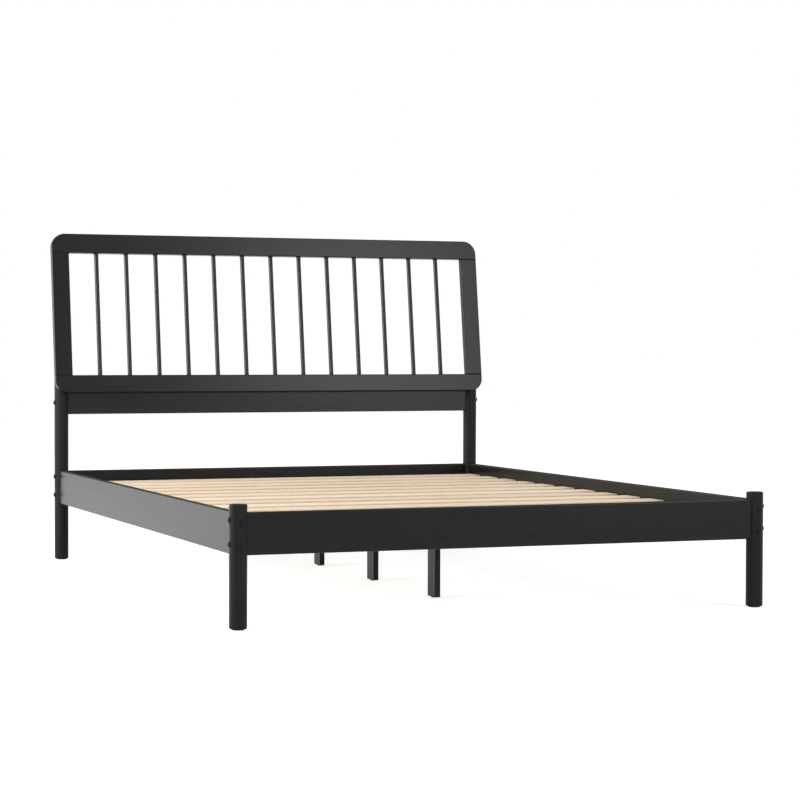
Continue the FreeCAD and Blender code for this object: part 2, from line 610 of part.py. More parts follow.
def corner_edges(level):
    """The two edges through the thickness at the outer corners of a headboard rail."""
    def test(edge):
        return runs_along("Z")(edge) and is_same(edge.Vertexes[0].Point.y, number(level))
    return test


def make_headboard_rail(label, bottom, top, corner_level, corner_radius, window_edge, toward):
    """A headboard rail: two round corners, a socket for each spindle and two for each stile's dowels."""
    body = headboard_body(label)
    outline = new_sketch(body, label + "_outline", "XY_Plane")
    draw_rectangle(outline, f"-{HALF_HEADBOARD}", HALF_HEADBOARD, bottom, top)
    board = pad(outline, "Sizes.headboard_thickness", toward=1)
    rounded = soften(board, corner_radius, corner_edges(corner_level))
    soften(rounded, "Sizes.arris_radius", on_broad_faces)

    sockets = new_sketch(body, label + "_spindle_socket", "XZ_Plane", offset=window_edge)
    draw_circles(sockets, SPINDLE_SOCKET, [(SPINDLE_FIRST, HALF_BOARD)])
    socket = pocket(sockets, toward=toward, depth="Sizes.spindle_tenon + Sizes.socket_end_gap")
    row([socket], "X", SPINDLE_PITCH, "Sizes.spindle_count")
    cut_dowel_sockets(body, label, window_edge, toward, (-1, 1))
    return body


def cut_dowel_sockets(body, label, level, toward, sides, middle=STILE_MIDDLE):
    dowels = new_sketch(body, f"{label}_dowel_sockets", "XZ_Plane", offset=level)
    draw_circles(dowels, DOWEL_SOCKET, [(f"{side} * {middle} + {step} * Sizes.dowel_spacing / 2", HALF_BOARD)
                                        for side in sides for step in (-1, 1)])
    pocket(dowels, toward=toward, depth=DOWEL_SOCKET_DEPTH)


def make_top_rail(label):
    return make_headboard_rail(label, WINDOW_TOP, "Sizes.headboard_length", "Sizes.headboard_length",
                               "Sizes.top_corner_radius", WINDOW_TOP, 1)


def make_bottom_rail(label):
    """The bottom rail also holds the threaded inserts for the bolts through the head posts."""
    body = make_headboard_rail(label, "0", WINDOW_BOTTOM, "0", "Sizes.bottom_corner_radius",
                               WINDOW_BOTTOM, -1)
    inserts = new_sketch(body, label + "_insert_holes", "XY_Plane")
    draw_circles(inserts, "Sizes.insert_diameter + 2 * Sizes.socket_clearance",
                 [(f"{side} * {HALF_ACROSS}", rise) for side in (LEFT, RIGHT) for rise in HEADBOARD_BOLTS])
    pocket(inserts, toward=1, depth="Sizes.insert_length + 2 * Sizes.socket_end_gap")
    return body


def make_stile(label, side):
    """A stile between the rails: its softened ends leave a groove at each joint, with dowels behind it."""
    body = headboard_body(label, x=f"{side} * {STILE_MIDDLE}")
    outline = new_sketch(body, label + "_outline", "XY_Plane")
    draw_rectangle(outline, "-Sizes.stile_width / 2", "Sizes.stile_width / 2", WINDOW_BOTTOM, WINDOW_TOP)
    board = pad(outline, "Sizes.headboard_thickness", toward=1)
    soften(board, "Sizes.arris_radius", on_broad_faces)
    cut_dowel_sockets(body, label + "_lower", WINDOW_BOTTOM, 1, (1,), middle="0")
    cut_dowel_sockets(body, label + "_upper", WINDOW_TOP, -1, (1,), middle="0")
    return body


def make_spindle(label, index):
    """A plain round spindle, let into both rails."""
    body = headboard_body(label, x=f"{SPINDLE_FIRST} + {index} * {SPINDLE_PITCH}")
    section = new_sketch(body, label + "_section", "XZ_Plane",
                         offset=f"{WINDOW_BOTTOM} - Sizes.spindle_tenon")
    draw_circles(section, "Sizes.spindle_diameter", [("0", HALF_BOARD)])
    rod = pad(section, f"{WINDOW_TOP} - {WINDOW_BOTTOM} + 2 * Sizes.spindle_tenon", toward=1)
    soften(rod, "Sizes.spindle_chamfer", is_circle, kind="Chamfer")
    return body


def make_stile_dowels(label):
    """Two dowels in each of the four joints between stiles and rails."""
    body = headboard_body(label)
    section = new_sketch(body, label + "_section", "XZ_Plane", offset=WINDOW_BOTTOM)
    draw_circles(section, "Sizes.dowel_diameter",
                 [(f"{STILE_MIDDLE} + {step} * Sizes.dowel_spacing / 2", HALF_BOARD) for step in (-1, 1)])
    dowels = pad(section, "Sizes.dowel_length")
    repeat([dowels], mirrors=["YZ_Plane"], rows=[("Y", f"{WINDOW_TOP} - {WINDOW_BOTTOM}", "2")])
    return body


# ---------------------------------------------------------------------------------------------------------
# Slats and what carries them
# ---------------------------------------------------------------------------------------------------------

def make_slat(label, index):
    """A pine slat with a countersunk hole over each ledger and over the beam."""
    body = new_body(label, y=f"{MIDDLE} + {SLAT_FIRST} + {index} * {SLAT_PITCH}")
    section = new_sketch(body, label + "_section", "YZ_Plane")
    draw_rectangle(section, "-Sizes.slat_width / 2", "Sizes.slat_width / 2", SLAT_BOTTOM, SLAT_TOP)
    board = pad(section, f"2 * ({INNER_HALF_ACROSS} - Sizes.slat_end_gap)")
    soften(board, "Sizes.slat_edge_radius", runs_along("X"))
    holes = new_sketch(body, label + "_screw_holes", "XY_Plane", offset=SLAT_TOP)
    draw_circles(holes, SCREW_HOLE, [(f"{step} * {LEDGER_MIDDLE}", "0") for step in (-1, 0, 1)])
    drilled = pocket(holes, toward=-1)
    soften(drilled, COUNTERSINK, circle_at("Z", SLAT_TOP, SCREW_HOLE), kind="Chamfer")
    return body


def drill_for_slats(body, label, level):
    """Pilot holes for one slat screw a slat, in a piece that runs along the bed."""
    pilot = new_sketch(body, label + "_slat_pilot", "XY_Plane", offset=level)
    draw_circles(pilot, SCREW_HOLE, [("0", SLAT_FIRST)])
    hole = pocket(pilot, toward=-1, depth="Sizes.slat_screw_bite + Sizes.socket_end_gap")
    row([hole], "Y", SLAT_PITCH, "Sizes.slat_count")


def make_ledger(label, side):
    """The cleat that carries the slat ends, screwed to the inside of a side rail."""
    body = new_body(label, x=f"{side} * {LEDGER_MIDDLE}", y=MIDDLE)
    section = new_sketch(body, label + "_section", "XZ_Plane")
    draw_rectangle(section, "-Sizes.ledger_width / 2", "Sizes.ledger_width / 2", LEDGER_BOTTOM, SLAT_BOTTOM)
    board = pad(section, f"2 * {LEDGER_HALF_LENGTH}")
    soften(board, "Sizes.slat_edge_radius", runs_along("Y"))
    inner_face = f"{-side} * Sizes.ledger_width / 2"
    hole = new_sketch(body, label + "_screw_hole", "YZ_Plane", offset=inner_face)
    draw_circles(hole, SCREW_HOLE, [(LEDGER_SCREW_FIRST, LEDGER_SCREW_HEIGHT)])
    drilled = pocket(hole, toward=side)
    row([drilled], "Y", "Sizes.ledger_screw_spacing", "Sizes.ledger_screw_count")
    drill_for_slats(body, label, SLAT_BOTTOM)
    soften(body.Tip, COUNTERSINK, circle_at("X", inner_face, SCREW_HOLE), kind="Chamfer")
    return body


def make_beam(label):
    """The centre beam, with sockets in its underside for the legs' hanger bolts."""
    body = new_body(label, y=MIDDLE)
    section = new_sketch(body, label + "_section", "XZ_Plane")
    draw_rectangle(section, "-Sizes.beam_width / 2", "Sizes.beam_width / 2", BEAM_BOTTOM, SLAT_BOTTOM)
    board = pad(section, f"2 * {BEAM_HALF_LENGTH}")
    soften(board, "Sizes.slat_edge_radius", runs_along("Y"))
    socket = new_sketch(body, label + "_leg_socket", "XY_Plane", offset=BEAM_BOTTOM)
    draw_circles(socket, "Sizes.bolt_diameter + 2 * Sizes.socket_clearance", [("0", LEG_FIRST)])
    hole = pocket(socket, toward=1, depth=LEG_SOCKET_DEPTH)
    row([hole], "Y", "Sizes.leg_spacing", "Sizes.leg_count")
    drill_for_slats(body, label, SLAT_BOTTOM)
    return body


def make_leg(label, index):
    """A flat centre leg, butted under the beam on a hanger bolt."""
    body = new_body(label, y=f"{MIDDLE} + {LEG_FIRST} + {index} * Sizes.leg_spacing")
    section = new_sketch(body, label + "_section", "XY_Plane", offset="Sizes.glide_thickness")
    draw_rectangle(section, "-Sizes.leg_width / 2", "Sizes.leg_width / 2",
                   "-Sizes.leg_depth / 2", "Sizes.leg_depth / 2")
    board = pad(section, f"{BEAM_BOTTOM} - Sizes.glide_thickness", toward=1)
    soften(board, "Sizes.leg_edge_radius", runs_along("Z"))
    socket = new_sketch(body, label + "_bolt_socket", "XY_Plane", offset=BEAM_BOTTOM)
    draw_circles(socket, "Sizes.bolt_diameter + 2 * Sizes.socket_clearance", [("0", "0")])
    pocket(socket, toward=-1, depth=LEG_SOCKET_DEPTH)
    pin_hole = new_sketch(body, label + "_pin_hole", "XY_Plane", offset="Sizes.glide_thickness")
    draw_circles(pin_hole, GLIDE_PIN_HOLE, [("0", "0")])
    pocket(pin_hole, toward=1, depth=GLIDE_PIN_SOCKET)
    return body


def make_hanger(label, end):
    """A folded steel hanger: two flanges on the end rail, two cheeks and a seat round the beam's end."""
    body = new_body(label, y=f"{MIDDLE} + {end} * {INNER_HALF_ALONG}")
    reach = f"{-end} * Sizes.hanger_reach"
    sheet_out = f"{-end} * Sizes.hanger_sheet"
    low, high = sorted(("0", reach), key=number)
    seat = new_sketch(body, label + "_seat", "XY_Plane", offset=BEAM_BOTTOM)
    draw_rectangle(seat, f"-{HANGER_CHEEK}", HANGER_CHEEK, low, high)
    pad(seat, "Sizes.hanger_sheet", toward=-1)

    cheek_outside = f"({HANGER_CHEEK} + Sizes.hanger_sheet)"
    flange_edge = f"({cheek_outside} + Sizes.hanger_flange)"
    folds = new_sketch(body, label + "_fold", "XY_Plane", offset=f"{BEAM_BOTTOM} - Sizes.hanger_sheet")
    draw_outline(folds, [(HANGER_CHEEK, "0"), (flange_edge, "0"), (flange_edge, sheet_out),
                         (cheek_outside, sheet_out), (cheek_outside, reach), (HANGER_CHEEK, reach)])
    fold = pad(folds, "Sizes.beam_height", toward=1)
    mirror([fold], "YZ_Plane")

    screws = new_sketch(body, label + "_screw_holes", "XZ_Plane")
    draw_circles(screws, SCREW_HOLE, [(f"{side} * {HANGER_SCREW_X}", height)
                                      for side in (LEFT, RIGHT) for height in HANGER_SCREWS])
    pocket(screws)
    return body


# ---------------------------------------------------------------------------------------------------------
# Fasteners and glides: each group of identical pieces is one body of separate solids
# ---------------------------------------------------------------------------------------------------------

def draw_bolt(sketch, length):
    """Half of a bolt's section, along the sketch's X axis, with the head's underside at the origin."""
    head, shank = "(Sizes.bolt_head_diameter / 2)", "(Sizes.bolt_diameter / 2)"
    edge, thick = "Sizes.bolt_head_edge", "Sizes.bolt_head_thickness"
    draw_outline(sketch, [(f"-{thick}", "0"), (f"-{thick}", f"{head} - {edge}"),
                          (f"-{thick} + {edge}", head), ("0", head), ("0", shank),
                          (f"{length} - {edge}", shank), (length, f"{shank} - {edge}"), (length, "0")])


def cut_hex_key(body, name, plane, offset, centre, toward):
    """A hexagon socket in a bolt's head."""
    sketch = new_sketch(body, name, plane, offset=offset)
    across_corners = "(Sizes.hex_key_width / cos(30))"
    corners = []
    for corner in range(6):
        angle = 60 * corner
        corners.append((f"{centre[0]} + {across_corners} / 2 * cos({angle})",
                        f"{centre[1]} + {across_corners} / 2 * sin({angle})"))
    draw_outline(sketch, corners)
    return pocket(sketch, toward=toward, depth="Sizes.hex_key_depth")


def turn_bolt(body, name, plane, offset, seat, length, key_plane, key_centre, toward):
    """One bolt whose head's underside is at seat and whose shank points toward + along the sketch."""
    profile = new_sketch(body, name, plane, offset=offset, shift=seat)
    draw_bolt(profile, length)
    bolt = revolve(profile, "H_Axis")
    key = cut_hex_key(body, name + "_key", key_plane, f"{seat[0]} - Sizes.bolt_head_thickness", key_centre,
                      toward)
    return [bolt, key]


def make_end_rail_bolts(label):
    """Bolts through the posts into the foot rail, the head rail and the cross rail."""
    body = new_body(label, y=MIDDLE)
    seat_x = f"(-{HALF_ACROSS} - {BOLT_SEAT})"
    rail_bolt = turn_bolt(body, label + "_rail", "XZ_Plane", f"-{HALF_ALONG}", (seat_x, END_BOLTS[1]),
                          BOLT_LENGTH, "YZ_Plane", (f"-{HALF_ALONG}", END_BOLTS[1]), 1)
    repeat(rail_bolt, mirrors=["YZ_Plane", "XZ_Plane"], rows=[("Z", "Sizes.rail_bolt_spacing", "2")])
    cross_bolt = turn_bolt(body, label + "_cross", "XZ_Plane", HALF_ALONG, (seat_x, CROSS_BOLT),
                           BOLT_LENGTH, "YZ_Plane", (HALF_ALONG, CROSS_BOLT), 1)
    mirror(cross_bolt, "YZ_Plane")
    return body


def make_side_rail_bolts(label):
    """Bolts through the posts into the side rails."""
    body = new_body(label, y=MIDDLE)
    seat_y = f"(-{HALF_ALONG} - {BOLT_SEAT})"
    bolt = turn_bolt(body, label + "_rail", "YZ_Plane", f"-{HALF_ACROSS}", (seat_y, SIDE_BOLTS[1]),
                     BOLT_LENGTH, "XZ_Plane", (f"-{HALF_ACROSS}", SIDE_BOLTS[1]), 1)
    repeat(bolt, mirrors=["YZ_Plane", "XZ_Plane"], rows=[("Z", "Sizes.rail_bolt_spacing", "2")])
    return body


def turn_barrel_nut(body, name, plane, offset, centre, bore_plane, bore_offset, bore_centre):
    """One cross dowel nut with its threaded hole across it."""
    section = new_sketch(body, name, plane, offset=offset)
    draw_circles(section, "Sizes.barrel_nut_diameter", [centre])
    nut = pad(section, "Sizes.barrel_nut_length")
    hole = new_sketch(body, name + "_hole", bore_plane, offset=bore_offset)
    draw_circles(hole, NUT_BORE, [bore_centre])
    return [nut, pocket(hole, depth=f"Sizes.barrel_nut_diameter + {OPEN_END}")]


def make_barrel_nuts(label):
    """Nuts in the ends of the foot, head and side rails and of the cross rail."""
    body = new_body(label, y=MIDDLE)
    end_nut_x = f"({END_RAIL_HALF_LENGTH} - Sizes.barrel_nut_inset)"
    side_nut_y = f"({SIDE_RAIL_HALF_LENGTH} - Sizes.barrel_nut_inset)"
    four_by_two = {"mirrors": ["YZ_Plane", "XZ_Plane"], "rows": [("Z", "Sizes.rail_bolt_spacing", "2")]}
    end_nut = turn_barrel_nut(body, label + "_end", "XZ_Plane", HALF_ALONG, (end_nut_x, END_BOLTS[1]),
                              "YZ_Plane", end_nut_x, (HALF_ALONG, END_BOLTS[1]))
    repeat(end_nut, **four_by_two)
    side_nut = turn_barrel_nut(body, label + "_side", "YZ_Plane", HALF_ACROSS, (side_nut_y, SIDE_BOLTS[1]),
                               "XZ_Plane", side_nut_y, (HALF_ACROSS, SIDE_BOLTS[1]))
    repeat(side_nut, **four_by_two)
    cross_nut = turn_barrel_nut(body, label + "_cross", "XZ_Plane", HALF_ALONG, (end_nut_x, CROSS_BOLT),
                                "YZ_Plane", end_nut_x, (HALF_ALONG, CROSS_BOLT))
    mirror(cross_nut, "YZ_Plane")
    return body


def make_headboard_bolts(label):
    """Bolts through the head posts, square to the leaning headboard."""
    body = headboard_body(label)
    profile = new_sketch(body, label + "_profile", "YZ_Plane", offset=f"-{HALF_ACROSS}",
                         shift=(HEADBOARD_BOLTS[0], f"-{HEADBOARD_GRIP}"))
    length = f"({HEADBOARD_GRIP} + Sizes.insert_length)"
    head, shank = "(Sizes.bolt_head_diameter / 2)", "(Sizes.bolt_diameter / 2)"
    edge, thick = "Sizes.bolt_head_edge", "Sizes.bolt_head_thickness"
    draw_outline(profile, [("0", f"-{thick}"), (f"{head} - {edge}", f"-{thick}"),
                           (head, f"-{thick} + {edge}"), (head, "0"), (shank, "0"),
                           (shank, f"{length} - {edge}"), (f"{shank} - {edge}", length), ("0", length)])
    bolt = revolve(profile, "V_Axis")
    key = cut_hex_key(body, label + "_key", "XY_Plane", f"-{HEADBOARD_GRIP} - Sizes.bolt_head_thickness",
                      (f"-{HALF_ACROSS}", HEADBOARD_BOLTS[0]), 1)
    repeat([bolt, key], mirrors=["YZ_Plane"], rows=[("Y", "Sizes.headboard_bolt_spacing", "2")])
    return body


def make_headboard_inserts(label):
    """Threaded inserts in the back of the headboard's bottom rail."""
    body = headboard_body(label)
    ring = new_sketch(body, label + "_ring", "XY_Plane", offset="Sizes.socket_end_gap")
    centre = [(f"-{HALF_ACROSS}", HEADBOARD_BOLTS[0])]
    draw_circles(ring, "Sizes.insert_diameter", centre)
    draw_circles(ring, NUT_BORE, centre)
    insert = pad(ring, "Sizes.insert_length", toward=1)
    repeat([insert], mirrors=["YZ_Plane"], rows=[("Y", "Sizes.headboard_bolt_spacing", "2")])
    return body


def draw_wood_screw(sketch, length, toward):
    """Half of a countersunk screw's section along the sketch's Y axis, head's top at the origin."""
    head, shank = "(Sizes.screw_head_diameter / 2)", "(Sizes.screw_diameter / 2)"
    point = "(Sizes.screw_point / 6)"
    profile = [("0", "0"), (head, "0"), (shank, SCREW_CONE), (shank, f"{length} - Sizes.screw_point"),
               (point, length), ("0", length)]
    draw_outline(sketch, [(x, y if y == "0" else f"{toward} * ({y})") for x, y in profile])


def make_slat_screws(label):
    """One countersunk screw from each slat into each ledger and into the beam."""
    body = new_body(label, y=MIDDLE)
    profile = new_sketch(body, label + "_profile", "YZ_Plane", offset=f"-{LEDGER_MIDDLE}",
                         shift=(SLAT_FIRST, f"{SLAT_TOP} - Sizes.screw_sink"))
    draw_wood_screw(profile, SLAT_SCREW_LENGTH, -1)
    screw = revolve(profile, "V_Axis")
    repeat([screw], rows=[("X", LEDGER_MIDDLE, "3"), ("Y", SLAT_PITCH, "Sizes.slat_count")])
    return body


def make_ledger_screws(label):
    """Countersunk screws through the ledgers into the side rails."""
    body = new_body(label, y=MIDDLE)
    inner_face = f"({INNER_HALF_ACROSS} - Sizes.ledger_width + Sizes.screw_sink)"
    profile = new_sketch(body, label + "_profile", "XY_Plane", offset=LEDGER_SCREW_HEIGHT,
                         shift=(inner_face, LEDGER_SCREW_FIRST))
    head, shank = "(Sizes.screw_head_diameter / 2)", "(Sizes.screw_diameter / 2)"
    point = "(Sizes.screw_point / 6)"
    draw_outline(profile, [("0", "0"), ("0", head), (SCREW_CONE, shank),
                           (f"{LEDGER_SCREW_LENGTH} - Sizes.screw_point", shank),
                           (LEDGER_SCREW_LENGTH, point), (LEDGER_SCREW_LENGTH, "0")])
    screw = revolve(profile, "H_Axis")
    repeat([screw], mirrors=["YZ_Plane"],
           rows=[("Y", "Sizes.ledger_screw_spacing", "Sizes.ledger_screw_count")])
    return body


def make_hanger_screws(label):
    """Pan head screws through the hangers' flanges into the end rails."""
    body = new_body(label, y=MIDDLE)
    seat_y = f"({INNER_HALF_ALONG} - Sizes.hanger_sheet)"
    profile = new_sketch(body, label + "_profile", "YZ_Plane", offset=HANGER_SCREW_X,
                         shift=(seat_y, HANGER_SCREWS[1]))
    head, shank = "(Sizes.screw_head_diameter / 2)", "(Sizes.screw_diameter / 2)"
    thick = "Sizes.pan_head_thickness"
    length = "(Sizes.hanger_sheet + Sizes.hanger_screw_bite)"
    draw_outline(profile, [(f"-{thick}", "0"), (f"-{thick}", f"{head} - {thick} / 2"),
                           (f"-{thick} / 2", head), ("0", head), ("0", shank),
                           (f"{length} - Sizes.screw_point", shank), (length, "Sizes.screw_point / 6"),
                           (length, "0")])
    screw = revolve(profile, "H_Axis")
    repeat([screw], mirrors=["YZ_Plane", "XZ_Plane"], rows=[("Z", "Sizes.hanger_screw_spacing", "2")])
    return body


def make_leg_bolts(label):
    """Hanger bolts, half in a centre leg and half in the beam."""
    body = new_body(label, y=MIDDLE)
    section = new_sketch(body, label + "_section", "XY_Plane", offset=BEAM_BOTTOM)
    draw_circles(section, "Sizes.bolt_diameter", [("0", LEG_FIRST)])
    rod = pad(section, "Sizes.leg_bolt_length")
    ends = soften(rod, "Sizes.bolt_head_edge", is_circle, kind="Chamfer")
    doc.recompute()
    row([rod, ends], "Y", "Sizes.leg_spacing", "Sizes.leg_count")
    return body


def draw_glide(body, name, diameter, x, y):
    """A plastic disc under a post or leg, with a pin that holds it."""
    disc = new_sketch(body, name + "_disc", "XY_Plane")
    draw_circles(disc, diameter, [(x, y)])
    pin = new_sketch(body, name + "_pin", "XY_Plane", offset="Sizes.glide_thickness")
    draw_circles(pin, "Sizes.glide_pin_diameter", [(x, y)])
    return [pad(disc, "Sizes.glide_thickness", toward=1), pad(pin, "Sizes.glide_pin_length", toward=1)]


def make_post_glides(label):
    body = new_body(label, y=MIDDLE)
    glide = draw_glide(body, label, "Sizes.post_glide_diameter", HALF_ACROSS, HALF_ALONG)
    repeat(glide, mirrors=["YZ_Plane", "XZ_Plane"])
    return body


def make_leg_glides(label):
    body = new_body(label, y=MIDDLE)
    glide = draw_glide(body, label, "Sizes.leg_glide_diameter", "0", LEG_FIRST)
    row(glide, "Y", "Sizes.leg_spacing", "Sizes.leg_count")
    return body


# ---------------------------------------------------------------------------------------------------------
# The whole bed
# ---------------------------------------------------------------------------------------------------------

pieces = [
    make_post("foot_post_left", LEFT, FOOT, "Sizes.foot_post_height"),
    make_post("foot_post_right", RIGHT, FOOT, "Sizes.foot_post_height"),
    make_head_post("head_post_left", LEFT),
    make_head_post("head_post_right", RIGHT),
    make_end_rail("foot_rail", FOOT),
    make_end_rail("head_rail", HEAD),
    make_side_rail("side_rail_left", LEFT),
    make_side_rail("side_rail_right", RIGHT),
    make_cross_rail("cross_rail"),
    make_top_rail("headboard_top_rail"),
    make_bottom_rail("headboard_bottom_rail"),
    make_stile("headboard_stile_left", LEFT),
    make_stile("headboard_stile_right", RIGHT),
]
pieces += [make_spindle(f"spindle_{index + 1:02d}", index) for index in range(count("spindle_count"))]
pieces += [make_slat(f"slat_{index + 1:02d}", index) for index in range(count("slat_count"))]
pieces += [make_leg(f"centre_leg_{index + 1}", index) for index in range(count("leg_count"))]
pieces += [
    make_ledger("slat_ledger_left", LEFT),
    make_ledger("slat_ledger_right", RIGHT),
    make_beam("centre_beam"),
    make_hanger("beam_hanger_foot", FOOT),
    make_hanger("beam_hanger_head", HEAD),
    make_stile_dowels("stile_dowels"),
    make_end_rail_bolts("end_rail_bolts"),
    make_side_rail_bolts("side_rail_bolts"),
    make_barrel_nuts("barrel_nuts"),
    make_headboard_bolts("headboard_bolts"),
    make_headboard_inserts("headboard_inserts"),
    make_slat_screws("slat_screws"),
    make_ledger_screws("ledger_screws"),
    make_hanger_screws("hanger_screws"),
    make_leg_bolts("leg_bolts"),
    make_post_glides("post_glides"),
    make_leg_glides("leg_glides"),
]
doc.recompute()

for item in doc.Objects:
    if "Invalid" in item.State or "Error" in item.State:
        raise RuntimeError(f"{item.Name} failed: {item.State}")
for piece in pieces:
    if piece.Shape.isNull() or not piece.Shape.isValid():
        raise RuntimeError(f"{piece.Label} has no valid shape")

os.makedirs("parts", exist_ok=True)
for piece in pieces:
    piece.Shape.exportStep(os.path.join("parts", piece.Label + ".step"))
print(f"{len(pieces)} pieces, {sum(len(piece.Shape.Solids) for piece in pieces)} solids")
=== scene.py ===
import math

import bmesh
import bpy
from bpy.props import FloatProperty, FloatVectorProperty, IntProperty, PointerProperty
from mathutils import Matrix, Vector


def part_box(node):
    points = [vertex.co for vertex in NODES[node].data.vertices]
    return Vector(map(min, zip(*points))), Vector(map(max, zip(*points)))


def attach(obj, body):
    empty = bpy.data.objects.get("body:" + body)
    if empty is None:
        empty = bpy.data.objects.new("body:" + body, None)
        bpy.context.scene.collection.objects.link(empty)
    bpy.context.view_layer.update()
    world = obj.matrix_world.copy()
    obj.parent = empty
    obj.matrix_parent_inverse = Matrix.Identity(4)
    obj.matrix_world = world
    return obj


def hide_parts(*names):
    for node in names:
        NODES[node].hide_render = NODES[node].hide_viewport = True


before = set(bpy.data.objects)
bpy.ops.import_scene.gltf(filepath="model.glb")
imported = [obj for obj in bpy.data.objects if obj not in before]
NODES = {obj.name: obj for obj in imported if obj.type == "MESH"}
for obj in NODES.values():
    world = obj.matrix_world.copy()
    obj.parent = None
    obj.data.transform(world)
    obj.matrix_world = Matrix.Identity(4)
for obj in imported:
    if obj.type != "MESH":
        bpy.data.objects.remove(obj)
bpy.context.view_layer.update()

bl_info = {
    "name": "Spindle bed finishes",
    "version": (1, 0, 0),
    "blender": (4, 5, 0),
    "location": "View3D > Sidebar > Bed",
    "description": "Finishes a black stained spindle bed and sets up its studio",
    "category": "Object",
}

MM = 0.001

POSTS = ["foot_post_left", "foot_post_right", "head_post_left", "head_post_right"]
RAILS_ACROSS = ["foot_rail", "head_rail"]
RAILS_ALONG = ["side_rail_left", "side_rail_right"]
HEADBOARD_RAILS = ["headboard_top_rail", "headboard_bottom_rail"]
HEADBOARD_STILES = ["headboard_stile_left", "headboard_stile_right"]
SPINDLES = sorted(name for name in NODES if name.startswith("spindle_"))
SLATS = sorted(name for name in NODES if name.startswith("slat_") and name[5:].isdigit())
LEDGERS = ["slat_ledger_left", "slat_ledger_right"]
LEGS = sorted(name for name in NODES if name.startswith("centre_leg_"))
HANGERS = ["beam_hanger_foot", "beam_hanger_head"]
BOLTS = ["end_rail_bolts", "side_rail_bolts", "headboard_bolts"]


def middle_of(node):
    """The middle of a carried-over piece's box."""
    low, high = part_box(node)
    return (low + high) / 2


# ---------------------------------------------------------------------------------------------------------
# Properties: what a user would change
# ---------------------------------------------------------------------------------------------------------

class BedWoodProperties(bpy.types.PropertyGroup):
    """Colours and grain of the bed's woods."""
    stain: FloatVectorProperty(
        name="Stain", description="Black stain between the grain lines",
        subtype="COLOR", size=3, min=0, max=1, default=(0.0062, 0.0060, 0.0062))
    stain_grain: FloatVectorProperty(
        name="Stain in the grain", description="Where the stain lets the grain show",
        subtype="COLOR", size=3, min=0, max=1, default=(0.0125, 0.0112, 0.0105))
    stain_worn: FloatVectorProperty(
        name="Worn edge", description="Brown wood that shows where the stain has rubbed thin",
        subtype="COLOR", size=3, min=0, max=1, default=(0.045, 0.032, 0.023))
    worn_width: FloatProperty(
        name="Worn width", description="Reach of the wear in from the edge of a board or post",
        subtype="DISTANCE", unit="LENGTH", min=0, default=3.5 * MM)
    spindle_worn_width: FloatProperty(
        name="Spindle worn width", description="Reach of the wear in from the edge of a spindle",
        subtype="DISTANCE", unit="LENGTH", min=0, default=0.8 * MM)
    stain_roughness: FloatProperty(
        name="Stain roughness", description="Roughness of the satin finish",
        min=0, max=1, default=0.25)
    post_roughness: FloatProperty(
        name="Post roughness", description="Roughness of the four posts",
        min=0, max=1, default=0.42)
    leg_roughness: FloatProperty(
        name="Leg roughness", description="Roughness of the centre legs",
        min=0, max=1, default=0.37)
    support_roughness: FloatProperty(
        name="Support roughness", description="Roughness of the thin stain on the ledgers and the beam",
        min=0, max=1, default=0.55)
    dull_roughness: FloatProperty(
        name="Dull roughness", description="Roughness of the stain in grooves and on faces that look up",
        min=0, max=1, default=0.85)
    stain_mirror: FloatProperty(
        name="Stain mirror", description="Specular level of the satin finish",
        min=0, max=1, default=0.15)
    spindle_mirror: FloatProperty(
        name="Spindle mirror", description="Specular level of the spindles",
        min=0, max=1, default=0.21)
    post_mirror: FloatProperty(
        name="Post mirror", description="Specular level of the posts",
        min=0, max=1, default=0.12)
    cross_rail_mirror: FloatProperty(
        name="Cross rail mirror", description="Specular level of the cross rail",
        min=0, max=1, default=0.22)
    lean: FloatProperty(
        name="Headboard lean", description="The grain of the headboard's upright pieces leans back by this",
        subtype="ANGLE", unit="ROTATION", default=math.radians(7.75))
    pine: FloatVectorProperty(
        name="Pine", description="Pale wood between the dark bands",
        subtype="COLOR", size=3, min=0, max=1, default=(0.77, 0.635, 0.475))
    pine_band: FloatVectorProperty(
        name="Pine band", description="Darker late wood",
        subtype="COLOR", size=3, min=0, max=1, default=(0.66, 0.45, 0.27))
    pine_knot: FloatVectorProperty(
        name="Pine knot", description="Heart of a small knot",
        subtype="COLOR", size=3, min=0, max=1, default=(0.36, 0.17, 0.075))
    band_width: FloatProperty(
        name="Band width", description="Distance between the dark bands of late wood",
        subtype="DISTANCE", unit="LENGTH", min=0.5 * MM, default=22 * MM)


